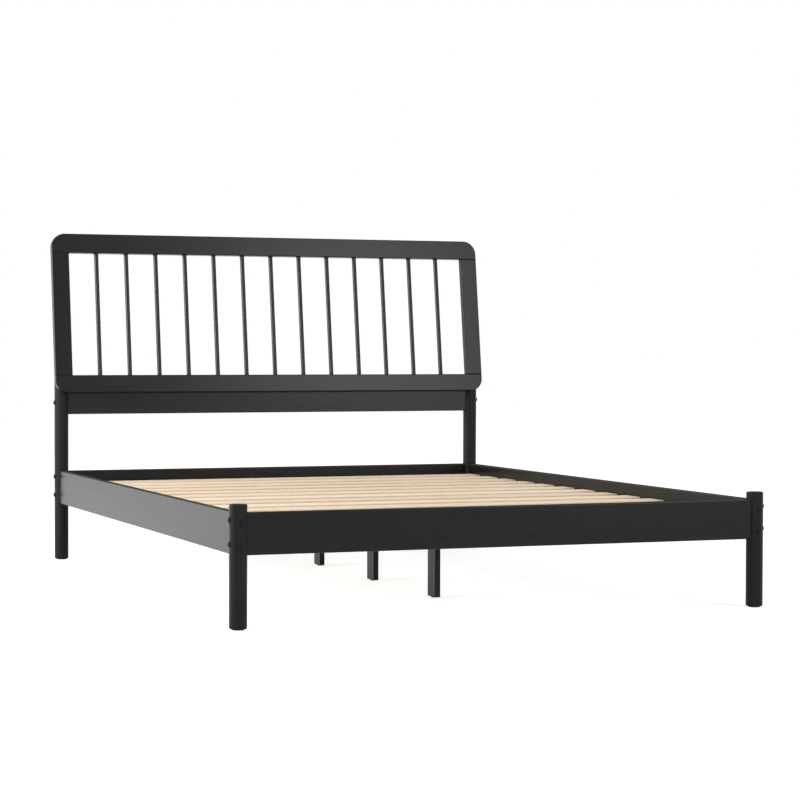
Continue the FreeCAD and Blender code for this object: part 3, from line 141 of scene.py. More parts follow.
class BedHardwareProperties(bpy.types.PropertyGroup):
    """Colours of the metal and plastic pieces, and the form of the wood screws."""
    screw_size: FloatProperty(
        name="Screw", description="Outside diameter of a wood screw's thread",
        subtype="DISTANCE", unit="LENGTH", min=MM, default=4 * MM)
    screw_pitch: FloatProperty(
        name="Screw pitch", description="Rise of a wood screw's thread in a turn",
        subtype="DISTANCE", unit="LENGTH", min=0.5 * MM, default=2.2 * MM)
    screw_head: FloatProperty(
        name="Screw head", description="Diameter of a wood screw's head",
        subtype="DISTANCE", unit="LENGTH", min=MM, default=8 * MM)
    screw_sink: FloatProperty(
        name="Screw sink", description="Flat head below the wood's surface",
        subtype="DISTANCE", unit="LENGTH", min=0, default=0.4 * MM)
    ledger_screws: IntProperty(
        name="Ledger screws", description="Screws along a ledger", min=2, default=6)
    hanger_screw_length: FloatProperty(
        name="Hanger screw", description="Length under the head",
        subtype="DISTANCE", unit="LENGTH", min=5 * MM, default=18 * MM)
    pan_head: FloatProperty(
        name="Pan head", description="Thickness of a hanger screw's head",
        subtype="DISTANCE", unit="LENGTH", min=MM, default=2.4 * MM)
    recess_reach: FloatProperty(
        name="Recess reach", description="Half the width of the cross in a screw's head",
        subtype="DISTANCE", unit="LENGTH", min=0.5 * MM, default=2.3 * MM)
    recess_depth: FloatProperty(
        name="Recess depth", description="Depth of the cross in a screw's head",
        subtype="DISTANCE", unit="LENGTH", min=0.5 * MM, default=1.9 * MM)
    machine_pitch: FloatProperty(
        name="Machine pitch", description="Rise of a leg bolt's machine thread in a turn",
        subtype="DISTANCE", unit="LENGTH", min=0.5 * MM, default=1.25 * MM)
    leg_wood_pitch: FloatProperty(
        name="Leg bolt pitch", description="Rise of a leg bolt's wood thread in a turn",
        subtype="DISTANCE", unit="LENGTH", min=0.5 * MM, default=2.6 * MM)
    bolt_black: FloatVectorProperty(
        name="Bolt black", description="Black coating of the bolts",
        subtype="COLOR", size=3, min=0, max=1, default=(0.006, 0.006, 0.0065))
    bolt_mirror: FloatProperty(
        name="Bolt mirror", description="Specular level of the bolts' coating",
        min=0, max=1, default=0.10)
    zinc: FloatVectorProperty(
        name="Zinc", description="Zinc plate of the screws, inserts and hangers",
        subtype="COLOR", size=3, min=0, max=1, default=(0.56, 0.57, 0.58))
    nut_level: FloatProperty(
        name="Nut level", description="Brightness of the blackened barrel nuts against bright zinc",
        min=0, max=1, default=0.08)
    nylon: FloatVectorProperty(
        name="Nylon", description="Plastic of the glides",
        subtype="COLOR", size=3, min=0, max=1, default=(0.02, 0.02, 0.02))
    beech: FloatVectorProperty(
        name="Beech", description="Bare dowels",
        subtype="COLOR", size=3, min=0, max=1, default=(0.62, 0.42, 0.24))


class BedStageProperties(bpy.types.PropertyGroup):
    """Camera and light of the studio."""
    camera_place: FloatVectorProperty(
        name="Camera from the foot", description="From the point on the floor between the foot posts",
        subtype="TRANSLATION", unit="LENGTH", size=3, default=(-2.5967, -5.6613, 0.7675))
    camera_turn: FloatProperty(
        name="Camera turn", description="To the right of straight at the headboard",
        subtype="ANGLE", unit="ROTATION", default=0.35359)
    camera_dip: FloatProperty(
        name="Camera dip", description="Below the horizon",
        subtype="ANGLE", unit="ROTATION", default=0.02435)
    camera_roll: FloatProperty(
        name="Camera roll", description="About the line of sight",
        subtype="ANGLE", unit="ROTATION", default=0.00194)
    camera_lens: FloatProperty(
        name="Focal length", description="On a 36 mm sensor, in millimetres", min=1, default=98.912)
    camera_shift: FloatProperty(
        name="Shift", description="Sideways shift of the picture, in widths", default=0.075)
    fill_level: FloatProperty(
        name="Fill", description="Light that the studio gives besides its lamps", min=0, default=0.10)
    floor_level: FloatProperty(
        name="Floor lift", description="Whiteness added to the floor near the bed, which lights nothing",
        min=0, default=0.75)


def wood():
    return bpy.context.scene.bed_wood


def hardware():
    return bpy.context.scene.bed_hardware


def studio():
    return bpy.context.scene.bed_stage


# ---------------------------------------------------------------------------------------------------------
# Materials
# ---------------------------------------------------------------------------------------------------------

def new_material(name):
    """A material with its shader and its node tree."""
    material = bpy.data.materials.new(name)
    material.use_nodes = True
    return material, material.node_tree, material.node_tree.nodes["Principled BSDF"]


def add_node(tree, kind, **values):
    """A node with values given to its sockets by name, a link where the value is a socket."""
    node = tree.nodes.new("ShaderNode" + kind)
    for name, value in values.items():
        socket = node.inputs[name.replace("_", " ")]
        if isinstance(value, bpy.types.NodeSocket):
            tree.links.new(value, socket)
        else:
            socket.default_value = value
    return node


def colour_between(tree, factor, first, second):
    """A blend of two colours by a factor."""
    ramp = tree.nodes.new("ShaderNodeValToRGB")
    ramp.color_ramp.elements[0].color = (*first, 1)
    ramp.color_ramp.elements[1].color = (*second, 1)
    tree.links.new(factor, ramp.inputs["Fac"])
    return ramp.outputs["Color"]


def tint(tree, factor, colour, second):
    """A colour that gives way to a fixed second colour as the factor rises."""
    blend = add_node(tree, "Mix")
    blend.data_type = "RGBA"
    tree.links.new(factor, blend.inputs["Factor"])
    tree.links.new(colour, blend.inputs[6])
    blend.inputs[7].default_value = (*second, 1)
    return blend.outputs[2]


def calculate(tree, operation, first, second):
    """The result of an operation on two values, each a number or a socket."""
    result = add_node(tree, "Math")
    result.operation = operation
    for socket, value in zip(result.inputs, (first, second)):
        if isinstance(value, bpy.types.NodeSocket):
            tree.links.new(value, socket)
        else:
            socket.default_value = value
    return result.outputs[0]


def times(tree, first, second):
    """The product of two values."""
    return calculate(tree, "MULTIPLY", first, second)


def larger(tree, first, second):
    """The larger of two values."""
    return calculate(tree, "MAXIMUM", first, second)


def remap(tree, value, lowest, highest, from_lowest=0.0, from_highest=1.0):
    """A value stretched from one span to another."""
    span = add_node(tree, "MapRange", Value=value)
    span.inputs["From Min"].default_value = from_lowest
    span.inputs["From Max"].default_value = from_highest
    span.inputs["To Min"].default_value = lowest
    span.inputs["To Max"].default_value = highest
    return span.outputs[0]


def grain_coordinates(tree, axis, stretch, lean=0.0):
    """Object coordinates, squeezed along the grain and moved at random from piece to piece."""
    place = tree.nodes.new("ShaderNodeTexCoord").outputs["Object"]
    upright = add_node(tree, "VectorRotate", Vector=place, Angle=lean)
    upright.rotation_type = "X_AXIS"
    luck = tree.nodes.new("ShaderNodeObjectInfo").outputs["Random"]
    spread = add_node(tree, "CombineXYZ")
    for index, reach in enumerate((3.1, 4.7, 2.3)):
        tree.links.new(times(tree, luck, reach), spread.inputs[index])
    jump = add_node(tree, "VectorMath")
    jump.operation = "ADD"
    tree.links.new(upright.outputs[0], jump.inputs[0])
    tree.links.new(spread.outputs[0], jump.inputs[1])
    mapping = add_node(tree, "Mapping", Vector=jump.outputs[0])
    scale = [1.0, 1.0, 1.0]
    scale["XYZ".index(axis)] = 1 / stretch
    mapping.inputs["Scale"].default_value = scale
    return mapping.outputs[0]


def edge_mask(tree, width):
    """1 along the edges of a piece, 0 on its flats, by how far rounding would turn the surface."""
    cosine_at_edge = 0.86
    rounded = add_node(tree, "Bevel", Radius=width)
    rounded.samples = 4
    true_normal = tree.nodes.new("ShaderNodeNewGeometry").outputs["Normal"]
    turn = add_node(tree, "VectorMath")
    turn.operation = "DOT_PRODUCT"
    tree.links.new(rounded.outputs[0], turn.inputs[0])
    tree.links.new(true_normal, turn.inputs[1])
    return remap(tree, turn.outputs["Value"], 0.0, 1.0, from_lowest=1.0, from_highest=cosine_at_edge)


def crevice_mask(tree, reach):
    """1 in grooves and inside corners, where the polish doesn't reach, 0 on open faces."""
    open_air = add_node(tree, "AmbientOcclusion", Distance=reach)
    open_air.samples = 6
    return remap(tree, open_air.outputs["AO"], 1.0, 0.0, from_lowest=0.55, from_highest=0.97)


def top_mask(tree):
    """1 on the faces that look up, which are left dull, 0 on the others."""
    normal = tree.nodes.new("ShaderNodeNewGeometry").outputs["Normal"]
    height = add_node(tree, "SeparateXYZ", Vector=normal).outputs["Z"]
    return remap(tree, height, 0.0, 1.0, from_lowest=0.75, from_highest=0.95)


def black_stain(name, axis, roughness, mirror, lean=0.0, worn_width=None):
    """Satin black stain over wood whose grain runs along an axis."""
    material, tree, shader = new_material(name)
    grain = grain_coordinates(tree, axis, stretch=18.0, lean=lean)
    streaks = add_node(tree, "TexNoise", Vector=grain, Scale=150.0, Detail=5.0, Roughness=0.6)
    clouds = add_node(tree, "TexNoise", Vector=grain, Scale=10.0, Detail=3.0)
    pores = add_node(tree, "TexNoise", Vector=grain, Scale=1100.0, Detail=2.0)
    figure = remap(tree, times(tree, streaks.outputs["Fac"], clouds.outputs["Fac"]), 0.0, 1.0,
                   from_lowest=0.12, from_highest=0.42)
    stain = colour_between(tree, figure, wood().stain, wood().stain_grain)
    edges = edge_mask(tree, worn_width or wood().worn_width)
    patches = remap(tree, streaks.outputs["Fac"], 0.0, 0.25, from_lowest=0.45, from_highest=0.7)
    worn = times(tree, edges, patches)
    tree.links.new(tint(tree, worn, stain, wood().stain_worn), shader.inputs["Base Color"])
    satin = add_node(tree, "Mix", B=wood().dull_roughness)
    dull = larger(tree, crevice_mask(tree, reach=7 * MM), top_mask(tree))
    tree.links.new(dull, satin.inputs["Factor"])
    uneven = 0.03
    tree.links.new(remap(tree, figure, roughness - uneven, roughness + uneven), satin.inputs["A"])
    tree.links.new(satin.outputs["Result"], shader.inputs["Roughness"])
    relief = add_node(tree, "Bump", Height=streaks.outputs["Fac"], Strength=0.05, Distance=0.2 * MM)
    fine = add_node(tree, "Bump", Height=pores.outputs["Fac"], Strength=0.05, Distance=0.1 * MM,
                    Normal=relief.outputs[0])
    tree.links.new(fine.outputs[0], shader.inputs["Normal"])
    shader.inputs["Specular IOR Level"].default_value = mirror
    return material


def planed_pine():
    """Bare planed pine: bands that run out along the slat, a few knots, each slat a little different."""
    material, tree, shader = new_material("planed_pine")
    grain = grain_coordinates(tree, "X", stretch=22.0)
    sway = add_node(tree, "TexNoise", Vector=grain, Scale=7.0, Detail=2.0)
    # The wave texture repeats every 2 pi / 20 at a scale of 1.
    plain_band = 2 * math.pi / 20
    rings = add_node(tree, "TexWave", Vector=grain, Scale=plain_band / wood().band_width,
                     Distortion=5.5, Detail=2.0, Detail_Scale=1.4)
    rings.wave_type = "RINGS"
    rings.rings_direction = "X"
    rings.wave_profile = "SAW"
    fibres = add_node(tree, "TexNoise", Vector=grain, Scale=420.0, Detail=4.0)
    wood_colour = colour_between(tree, times(tree, rings.outputs["Fac"], sway.outputs["Fac"]),
                                 wood().pine, wood().pine_band)
    knots = add_node(tree, "TexVoronoi", Vector=grain_coordinates(tree, "X", stretch=2.2), Scale=4.5)
    knot_depth = 0.8
    knot = remap(tree, knots.outputs["Distance"], 1.0, 0.0, from_lowest=0.012, from_highest=0.04)
    knotted = tint(tree, times(tree, knot, knot_depth), wood_colour, wood().pine_knot)
    luck = tree.nodes.new("ShaderNodeObjectInfo").outputs["Random"]
    each_slat = add_node(tree, "HueSaturation", Color=knotted, Hue=remap(tree, luck, 0.494, 0.506),
                         Saturation=remap(tree, luck, 1.12, 0.9), Value=remap(tree, luck, 0.95, 1.03))
    tree.links.new(each_slat.outputs[0], shader.inputs["Base Color"])
    bump = add_node(tree, "Bump", Height=fibres.outputs["Fac"], Strength=0.12, Distance=0.3 * MM)
    tree.links.new(bump.outputs[0], shader.inputs["Normal"])
    tree.links.new(remap(tree, fibres.outputs["Fac"], 0.52, 0.68), shader.inputs["Roughness"])
    return material


def bolt_black():
    """Black coated steel."""
    material, tree, shader = new_material("bolt_black")
    place = tree.nodes.new("ShaderNodeTexCoord").outputs["Object"]
    specks = add_node(tree, "TexNoise", Vector=place, Scale=1500.0, Detail=3.0)
    colour = colour_between(tree, specks.outputs["Fac"], hardware().bolt_black,
                            [1.8 * level for level in hardware().bolt_black])
    tree.links.new(colour, shader.inputs["Base Color"])
    bump = add_node(tree, "Bump", Height=specks.outputs["Fac"], Strength=0.1, Distance=0.05 * MM)
    tree.links.new(bump.outputs[0], shader.inputs["Normal"])
    shader.inputs["Specular IOR Level"].default_value = hardware().bolt_mirror
    shader.inputs["Roughness"].default_value = 0.45
    return material


def zinc_plate(name="zinc_plate", level=1.0):
    """Zinc plated steel with the faint bloom of the plating, darker where it is blackened."""
    material, tree, shader = new_material(name)
    place = tree.nodes.new("ShaderNodeTexCoord").outputs["Object"]
    bloom = add_node(tree, "TexNoise", Vector=place, Scale=180.0, Detail=4.0)
    zinc = [level * part for part in hardware().zinc]
    colour = colour_between(tree, bloom.outputs["Fac"], [0.75 * part for part in zinc], zinc)
    tree.links.new(colour, shader.inputs["Base Color"])
    tree.links.new(remap(tree, bloom.outputs["Fac"], 0.28, 0.46), shader.inputs["Roughness"])
    shader.inputs["Metallic"].default_value = 1.0
    return material


def moulded_nylon():
    """Dark plastic with a fine moulded grain."""
    material, tree, shader = new_material("moulded_nylon")
    place = tree.nodes.new("ShaderNodeTexCoord").outputs["Object"]
    grain = add_node(tree, "TexNoise", Vector=place, Scale=2500.0, Detail=2.0)
    colour = colour_between(tree, grain.outputs["Fac"], hardware().nylon,
                            [1.4 * level for level in hardware().nylon])
    tree.links.new(colour, shader.inputs["Base Color"])
    bump = add_node(tree, "Bump", Height=grain.outputs["Fac"], Strength=0.2, Distance=0.05 * MM)
    tree.links.new(bump.outputs[0], shader.inputs["Normal"])
    shader.inputs["Roughness"].default_value = 0.55
    return material


def bare_beech():
    """Bare beech with short flecks."""
    material, tree, shader = new_material("bare_beech")
    grain = grain_coordinates(tree, "Z", stretch=8.0)
    flecks = add_node(tree, "TexNoise", Vector=grain, Scale=600.0, Detail=3.0)
    colour = colour_between(tree, flecks.outputs["Fac"], hardware().beech,
                            [0.7 * level for level in hardware().beech])
    tree.links.new(colour, shader.inputs["Base Color"])
    shader.inputs["Roughness"].default_value = 0.65
    return material


def finish_node(name, material):
    """Give a carried-over piece its finish."""
    piece = NODES[name]
    piece.data.materials.clear()
    piece.data.materials.append(material)


def finish_nodes(names, material):
    """Give several carried-over pieces the same finish."""
    for name in names:
        finish_node(name, material)


# ---------------------------------------------------------------------------------------------------------
# Screws
# ---------------------------------------------------------------------------------------------------------

def lathe(mesh, rings, around):
    """Rings of points joined into a skin, closed at both ends. A ring is a height and a radius by angle."""
    rows = []
    for height, radius_at in rings:
        row = []
        for step in range(around):
            angle = 2 * math.pi * step / around
            radius = radius_at(angle)
            row.append(mesh.verts.new((radius * math.cos(angle), radius * math.sin(angle), height)))
        rows.append(row)
    for lower, upper in zip(rows, rows[1:]):
        for step in range(around):
            after = (step + 1) % around
            mesh.faces.new((lower[step], lower[after], upper[after], upper[step]))
    mesh.faces.new(rows[0][::-1])
    mesh.faces.new(rows[-1])


def plain(radius):
    """A round ring."""
    return lambda angle: radius


def thread(height, crest, root, pitch, share):
    """A ring through a thread: its radius rises to the crest once round."""
    flank = 0.3

    def radius_at(angle):
        turn = (height / pitch - angle / (2 * math.pi)) % 1.0
        rise = max(0.0, 1.0 - abs(turn - 0.5) / flank)
        return root + (crest - root) * rise * share
    return radius_at


def threaded_rings(first, last, crest, root, pitch, steps, point=0.0):
    """Rings of a thread from one height down to another, and of its point where it has one."""
    rings = []
    blunt = 0.12
    count = round((first - last) / pitch * steps)
    for index in range(count + 1):
        height = first + (last - first) * index / count
        taper = min(1.0, (height - last) / point) if point else 1.0
        size = blunt + (1 - blunt) * taper
        start = min(1.0, index / steps)
        rings.append((height, thread(height, crest * size, root * size, pitch, start)))
    return rings


def cross_bit(mesh, reach, depth):
    """The tapered cross of a screwdriver's tip, to be cut from a head."""
    top = (0.2 * MM, reach, 0.55 * MM)
    tip = (-depth, 0.25 * reach, 0.3 * MM)
    for turn in (0, math.pi / 2):
        quarter = Matrix.Rotation(turn, 3, "Z")
        corners = []
        for height, long, wide in (top, tip):
            for x, y in ((-long, -wide), (long, -wide), (long, wide), (-long, wide)):
                corners.append(mesh.verts.new(quarter @ Vector((x, y, height))))
        for face in ((0, 1, 2, 3), (7, 6, 5, 4), (0, 4, 5, 1), (1, 5, 6, 2), (2, 6, 7, 3), (3, 7, 4, 0)):
            mesh.faces.new([corners[index] for index in face])


def mesh_object(name, mesh):
    """An object in the scene from a bmesh, with its faces turned outwards."""
    bmesh.ops.recalc_face_normals(mesh, faces=mesh.faces)
    data = bpy.data.meshes.new(name)
    mesh.to_mesh(data)
    mesh.free()
    piece = bpy.data.objects.new(name, data)
    bpy.context.scene.collection.objects.link(piece)
    return piece


def screw_pattern(length, head_rings, neck, crest, root, pitch):
    """One screw that points down from its head's top, with a cross recess in the head."""
    mesh = bmesh.new()
    rings = [*head_rings, (-neck, plain(0.8 * crest))]
    rings += threaded_rings(-neck - 0.2 * MM, -length, crest, root, pitch, steps=6, point=3 * MM)
    lathe(mesh, rings, around=14)
    screw = mesh_object("screw_pattern", mesh)
    tool = bmesh.new()
    cross_bit(tool, reach=hardware().recess_reach, depth=hardware().recess_depth)
    bit = mesh_object("recess_pattern", tool)
    cut = screw.modifiers.new("recess", "BOOLEAN")
    cut.operation = "DIFFERENCE"
    cut.solver = "EXACT"
    cut.use_self = True
    cut.object = bit
    bpy.context.view_layer.update()
    finished = bpy.data.meshes.new_from_object(screw.evaluated_get(bpy.context.evaluated_depsgraph_get()))
    bpy.data.objects.remove(screw)
    bpy.data.objects.remove(bit)
    return finished


def set_in_place(node, pattern, places, material):
    """Copies of a pattern in place of a carried-over group of fasteners."""
    fewest_faces = 100
    smooth_below = math.radians(50)
    joined = bmesh.new()
    for place in places:
        copy = pattern.copy()
        copy.transform(place)
        joined.from_mesh(copy)
        bpy.data.meshes.remove(copy)
    for edge in joined.edges:
        edge.smooth = len(edge.link_faces) == 2 and edge.calc_face_angle() < smooth_below
    for face in joined.faces:
        face.smooth = True
    piece = mesh_object(node + "_threaded", joined)
    piece.data.materials.append(material)
    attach(piece, "root")
    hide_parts(node)
    if len(piece.data.polygons) < len(places) * fewest_faces:
        raise RuntimeError(f"{node}: a fastener is missing")


def pointing(direction, place):
    """Place a pattern whose shank points along a direction from a point."""
    turn = Vector(direction).to_track_quat("-Z", "Y").to_matrix().to_4x4()
    return Matrix.Translation(place) @ turn


def countersunk_rings():
    """The cone under a flat head."""
    head = hardware().screw_head / 2
    crest = hardware().screw_size / 2
    return [(0, plain(head)), (-0.15 * MM, plain(head)), (crest - head, plain(crest))]


def pan_rings(thickness):
    """A domed head with a flat underside."""
    head = hardware().screw_head / 2
    crest = hardware().screw_size / 2
    crown = 0.62
    dome = [(-thickness * (1 - math.cos(step)), plain(head * (crown + (1 - crown) * math.sin(step))))
            for step in (0, 0.35, 0.7, 1.05, 1.3)]
    return [*dome, (-thickness, plain(head * 0.97)), (-thickness - 0.01 * MM, plain(crest))]


def wood_screw(length, head_rings, neck):
    """A wood screw of the bed's one size, plain along its neck and threaded below."""
    crest = hardware().screw_size / 2
    return screw_pattern(length, head_rings, neck, crest, root=0.66 * crest, pitch=hardware().screw_pitch)


def slat_screw_places():
    """Down through each slat, into both ledgers and the beam."""
    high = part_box("slat_screws")[1]
    edge = high.x - hardware().screw_head / 2
    return [pointing((0, 0, -1), (x, middle_of(slat).y, high.z))
            for slat in SLATS for x in (-edge, 0, edge)]


def ledger_screw_places():
    """Outwards through each ledger into its side rail, evenly spaced."""
    low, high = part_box("ledger_screws")
    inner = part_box("slat_ledger_right")[0].x + hardware().screw_sink
    radius = hardware().screw_head / 2
    count = hardware().ledger_screws
    step = (high.y - low.y - 2 * radius) / (count - 1)
    level = (low.z + high.z) / 2
    return [pointing((side, 0, 0), (side * inner, low.y + radius + step * index, level))
            for side in (-1, 1) for index in range(count)]


def hanger_screw_places(length):
    """Two through each flange of the hangers, into the foot and head rails."""
    low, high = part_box("hanger_screws")
    radius = hardware().screw_head / 2
    across = high.x - radius
    return [pointing((0, end, 0), (x, y, z))
            for end, y in ((-1, low.y + length), (1, high.y - length))
            for x in (-across, across) for z in (low.z + radius, high.z - radius)]


def leg_bolt_pattern(length, diameter):
    """A hanger bolt: machine thread above, a plain waist, and a pointed wood thread below."""
    mesh = bmesh.new()
    crest = diameter / 2
    machine_root, waist, wood_root = 0.85 * crest, 0.9 * crest, 0.68 * crest
    waist_top = -0.46 * length
    rings = [(0, plain(0.8 * crest)), (-0.6 * MM, plain(0.98 * crest))]
    rings += threaded_rings(-0.8 * MM, waist_top, crest, machine_root, hardware().machine_pitch, steps=5)
    rings += [(waist_top - 0.5 * MM, plain(waist)), (waist_top - 6 * MM, plain(waist))]
    rings += threaded_rings(waist_top - 6.4 * MM, -length, crest, wood_root, hardware().leg_wood_pitch,
                            steps=7, point=7 * MM)
    lathe(mesh, rings, around=16)
    piece = mesh_object("leg_bolt_pattern", mesh)
    pattern = piece.data.copy()
    bpy.data.objects.remove(piece)
    return pattern


# ---------------------------------------------------------------------------------------------------------
# Operators: one for each piece or group of like pieces
# ---------------------------------------------------------------------------------------------------------

class BED_OT_posts(bpy.types.Operator):
    """Stain the four round posts black, with the grain upright"""
    bl_idname = "bed.posts"
    bl_label = "Posts"

    def execute(self, context):
        stain = black_stain("black_stain_posts", "Z", wood().post_roughness, wood().post_mirror)
        finish_nodes(POSTS, stain)
        return {"FINISHED"}


class BED_OT_rails(bpy.types.Operator):
    """Stain the bed rails and the cross rail black, with the grain along each rail"""
    bl_idname = "bed.rails"
    bl_label = "Rails"

    def execute(self, context):
        roughness, mirror = wood().stain_roughness, wood().stain_mirror
        finish_nodes(RAILS_ACROSS, black_stain("black_stain_rails_across", "X", roughness, mirror))
        finish_nodes(RAILS_ALONG, black_stain("black_stain_rails_along", "Y", roughness, mirror))
        finish_node("cross_rail",
                    black_stain("black_stain_cross_rail", "X", roughness, wood().cross_rail_mirror))
        return {"FINISHED"}


class BED_OT_headboard(bpy.types.Operator):
    """Stain the headboard's rails and stiles black"""
    bl_idname = "bed.headboard"
    bl_label = "Headboard frame"

    def execute(self, context):
        satin = {"roughness": wood().stain_roughness, "mirror": wood().stain_mirror, "lean": wood().lean}
        finish_nodes(HEADBOARD_RAILS, black_stain("black_stain_headboard_rails", "X", **satin))
        finish_nodes(HEADBOARD_STILES, black_stain("black_stain_headboard_stiles", "Z", **satin))
        return {"FINISHED"}


class BED_OT_spindles(bpy.types.Operator):
    """Stain the round spindles black"""
    bl_idname = "bed.spindles"
    bl_label = "Spindles"

    def execute(self, context):
        stain = black_stain("black_stain_spindles", "Z", wood().stain_roughness, wood().spindle_mirror,
                            lean=wood().lean, worn_width=wood().spindle_worn_width)
        finish_nodes(SPINDLES, stain)
        return {"FINISHED"}


class BED_OT_slats(bpy.types.Operator):
    """Give the slats their planed pine"""
    bl_idname = "bed.slats"
    bl_label = "Slats"

    def execute(self, context):
        finish_nodes(SLATS, planed_pine())
        return {"FINISHED"}


class BED_OT_supports(bpy.types.Operator):
    """Stain the ledgers, the centre beam and the centre legs"""
    bl_idname = "bed.supports"
    bl_label = "Supports"

    def execute(self, context):
        mirror = wood().stain_mirror
        finish_nodes([*LEDGERS, "centre_beam"],
                     black_stain("black_stain_supports", "Y", wood().support_roughness, mirror))
        finish_nodes(LEGS, black_stain("black_stain_legs", "Z", wood().leg_roughness, mirror))
        return {"FINISHED"}


class BED_OT_wood_screws(bpy.types.Operator):
    """Cut the threads and cross recesses of the slat, ledger and hanger screws"""
    bl_idname = "bed.wood_screws"
    bl_label = "Wood screws"

    def execute(self, context):
        zinc = zinc_plate("zinc_screws")
        low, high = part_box("slat_screws")
        screw = wood_screw(high.z - low.z, countersunk_rings(), neck=7 * MM)
        set_in_place("slat_screws", screw, slat_screw_places(), zinc)
        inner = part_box("slat_ledger_right")[0].x + hardware().screw_sink
        screw = wood_screw(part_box("ledger_screws")[1].x - inner, countersunk_rings(), neck=14 * MM)
        set_in_place("ledger_screws", screw, ledger_screw_places(), zinc)
        length = hardware().hanger_screw_length + hardware().pan_head
        screw = wood_screw(length, pan_rings(hardware().pan_head), neck=4 * MM)
        set_in_place("hanger_screws", screw, hanger_screw_places(length), zinc)
        return {"FINISHED"}


class BED_OT_leg_bolts(bpy.types.Operator):
    """Cut the two threads of the hanger bolts that hold the centre legs to the beam"""
    bl_idname = "bed.leg_bolts"
    bl_label = "Leg bolts"

    def execute(self, context):
        low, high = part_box("leg_bolts")
        places = [pointing((0, 0, -1), (middle_of(leg).x, middle_of(leg).y, high.z)) for leg in LEGS]
        bolt = leg_bolt_pattern(length=high.z - low.z, diameter=high.x - low.x)
        set_in_place("leg_bolts", bolt, places, zinc_plate("zinc_bolts"))
        return {"FINISHED"}


class BED_OT_hardware(bpy.types.Operator):
    """Finish the bolts, nuts, inserts, hangers, dowels and glides"""
    bl_idname = "bed.hardware"
    bl_label = "Hardware"

    def execute(self, context):
        finish_nodes(BOLTS, bolt_black())
        finish_nodes([*HANGERS, "headboard_inserts"], zinc_plate())
        finish_node("barrel_nuts", zinc_plate("zinc_blackened", level=hardware().nut_level))
        finish_nodes(["post_glides", "leg_glides"], moulded_nylon())
        finish_node("stile_dowels", bare_beech())
        return {"FINISHED"}


def add_softbox(name, place, target, size, watts):
    """A lamp of a width and height, turned to a target, that the camera doesn't see."""
    data = bpy.data.lights.new(name, "AREA")
    data.shape = "RECTANGLE"
    data.size, data.size_y = size
    data.energy = watts
    lamp = bpy.data.objects.new(name, data)
    bpy.context.scene.collection.objects.link(lamp)
    lamp.location = place
    lamp.rotation_euler = (Vector(target) - Vector(place)).to_track_quat("-Z", "Y").to_euler()
    lamp.visible_camera = False


def seen_as_background(tree):
    """1 to the camera and in whatever mirrors the studio or lets it through, 0 to the light on the bed."""
    rays = tree.nodes.new("ShaderNodeLightPath")
    seen = rays.outputs["Is Camera Ray"]
    for name in ("Is Glossy Ray", "Is Transmission Ray"):
        seen = larger(tree, seen, rays.outputs[name])
    return seen


def build_world():
    """White where it is seen or mirrored, and nearly dark otherwise, so that the lamps light the bed."""
    world = bpy.data.worlds.new("studio")
    bpy.context.scene.world = world
    world.use_nodes = True
    tree = world.node_tree
    level = remap(tree, seen_as_background(tree), studio().fill_level, 1.0)
    tree.links.new(level, tree.nodes["Background"].inputs["Strength"])
    tree.nodes["Background"].inputs["Color"].default_value = (1, 1, 1, 1)


def build_floor():
    """A pale floor that looks as white as the background and keeps the bed's shadow."""
    width = 30
    below_glides = 0.5 * MM
    shadow_reach, white_reach = 1.6, 4.5
    bpy.ops.mesh.primitive_plane_add(size=width, location=(0, 0, -below_glides))
    floor = bpy.context.object
    floor.name = "studio_floor"
    material, tree, shader = new_material("studio_white")
    shader.inputs["Base Color"].default_value = (0.6, 0.6, 0.6, 1)
    shader.inputs["Roughness"].default_value = 0.9
    shader.inputs["Specular IOR Level"].default_value = 0.0
    place = tree.nodes.new("ShaderNodeTexCoord").outputs["Object"]
    reach = add_node(tree, "VectorMath", Vector=place)
    reach.operation = "LENGTH"
    lift = remap(tree, reach.outputs["Value"], studio().floor_level, 1.0,
                 from_lowest=shadow_reach, from_highest=white_reach)
    shader.inputs["Emission Color"].default_value = (1, 1, 1, 1)
    tree.links.new(times(tree, lift, seen_as_background(tree)), shader.inputs["Emission Strength"])
    floor.data.materials.append(material)


def build_camera():
    """The camera at the photograph's view."""
    settings = studio()
    foot = (middle_of("foot_post_left") + middle_of("foot_post_right")) / 2
    foot.z = 0
    data = bpy.data.cameras.new("camera")
    data.sensor_width = 36
    data.lens = settings.camera_lens
    data.shift_x = settings.camera_shift
    data.clip_end = 100
    camera = bpy.data.objects.new("camera", data)
    bpy.context.scene.collection.objects.link(camera)
    camera.matrix_world = (Matrix.Translation(foot + Vector(settings.camera_place))
                           @ Matrix.Rotation(-settings.camera_turn, 4, "Z")
                           @ Matrix.Rotation(math.pi / 2 - settings.camera_dip, 4, "X")
                           @ Matrix.Rotation(settings.camera_roll, 4, "Z"))
    bpy.context.scene.camera = camera


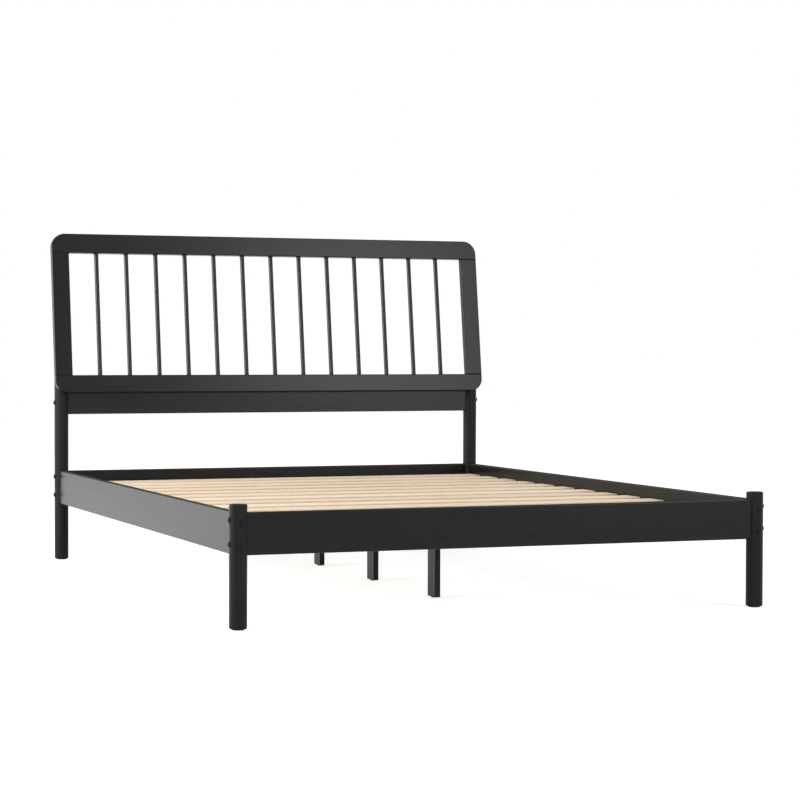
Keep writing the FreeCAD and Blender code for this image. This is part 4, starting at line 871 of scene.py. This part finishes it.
class BED_OT_stage(bpy.types.Operator):
    """Set up the white studio, its lamps and the camera"""
    bl_idname = "bed.stage"
    bl_label = "Stage"

    def execute(self, context):
        context.scene.view_settings.view_transform = "Standard"
        build_world()
        build_floor()
        add_softbox("overhead_softbox", (0, 0.6, 4.2), (0, 0.2, 0.3), (4.0, 4.0), 88)
        add_softbox("front_softbox", (2.9, -5.4, 2.3), (0.2, 1.0, 0.9), (1.8, 3.3), 138)
        add_softbox("low_front_softbox", (-1.4, -6.2, 1.4), (0, 0, 0.3), (1.6, 1.6), 68)
        add_softbox("left_softbox", (-4.4, 0.6, 1.8), (0, 0.6, 0.85), (4.4, 1.2), 318)
        add_softbox("rear_softbox", (-4.5, 7.1, 1.1), (-0.8, 0, 0.3), (2.4, 2.2), 46)
        build_camera()
        return {"FINISHED"}


class BED_PT_panel(bpy.types.Panel):
    """The bed's finishes, piece by piece"""
    bl_idname = "BED_PT_panel"
    bl_label = "Spindle bed"
    bl_space_type = "VIEW_3D"
    bl_region_type = "UI"
    bl_category = "Bed"

    def draw(self, context):
        for operator in OPERATORS:
            self.layout.operator(operator.bl_idname)


OPERATORS = [BED_OT_posts, BED_OT_rails, BED_OT_headboard, BED_OT_spindles, BED_OT_slats, BED_OT_supports,
             BED_OT_wood_screws, BED_OT_leg_bolts, BED_OT_hardware, BED_OT_stage]
CLASSES = [BedWoodProperties, BedHardwareProperties, BedStageProperties, *OPERATORS, BED_PT_panel]


def register():
    for item in CLASSES:
        bpy.utils.register_class(item)
    bpy.types.Scene.bed_wood = PointerProperty(type=BedWoodProperties)
    bpy.types.Scene.bed_hardware = PointerProperty(type=BedHardwareProperties)
    bpy.types.Scene.bed_stage = PointerProperty(type=BedStageProperties)


def unregister():
    del bpy.types.Scene.bed_wood
    del bpy.types.Scene.bed_hardware
    del bpy.types.Scene.bed_stage
    for item in reversed(CLASSES):
        bpy.utils.unregister_class(item)


def main():
    register()
    bpy.ops.bed.posts()
    bpy.ops.bed.rails()
    bpy.ops.bed.headboard()
    bpy.ops.bed.spindles()
    bpy.ops.bed.slats()
    bpy.ops.bed.supports()
    bpy.ops.bed.wood_screws()
    bpy.ops.bed.leg_bolts()
    bpy.ops.bed.hardware()
    bpy.ops.bed.stage()


if __name__ == "__main__":
    main()
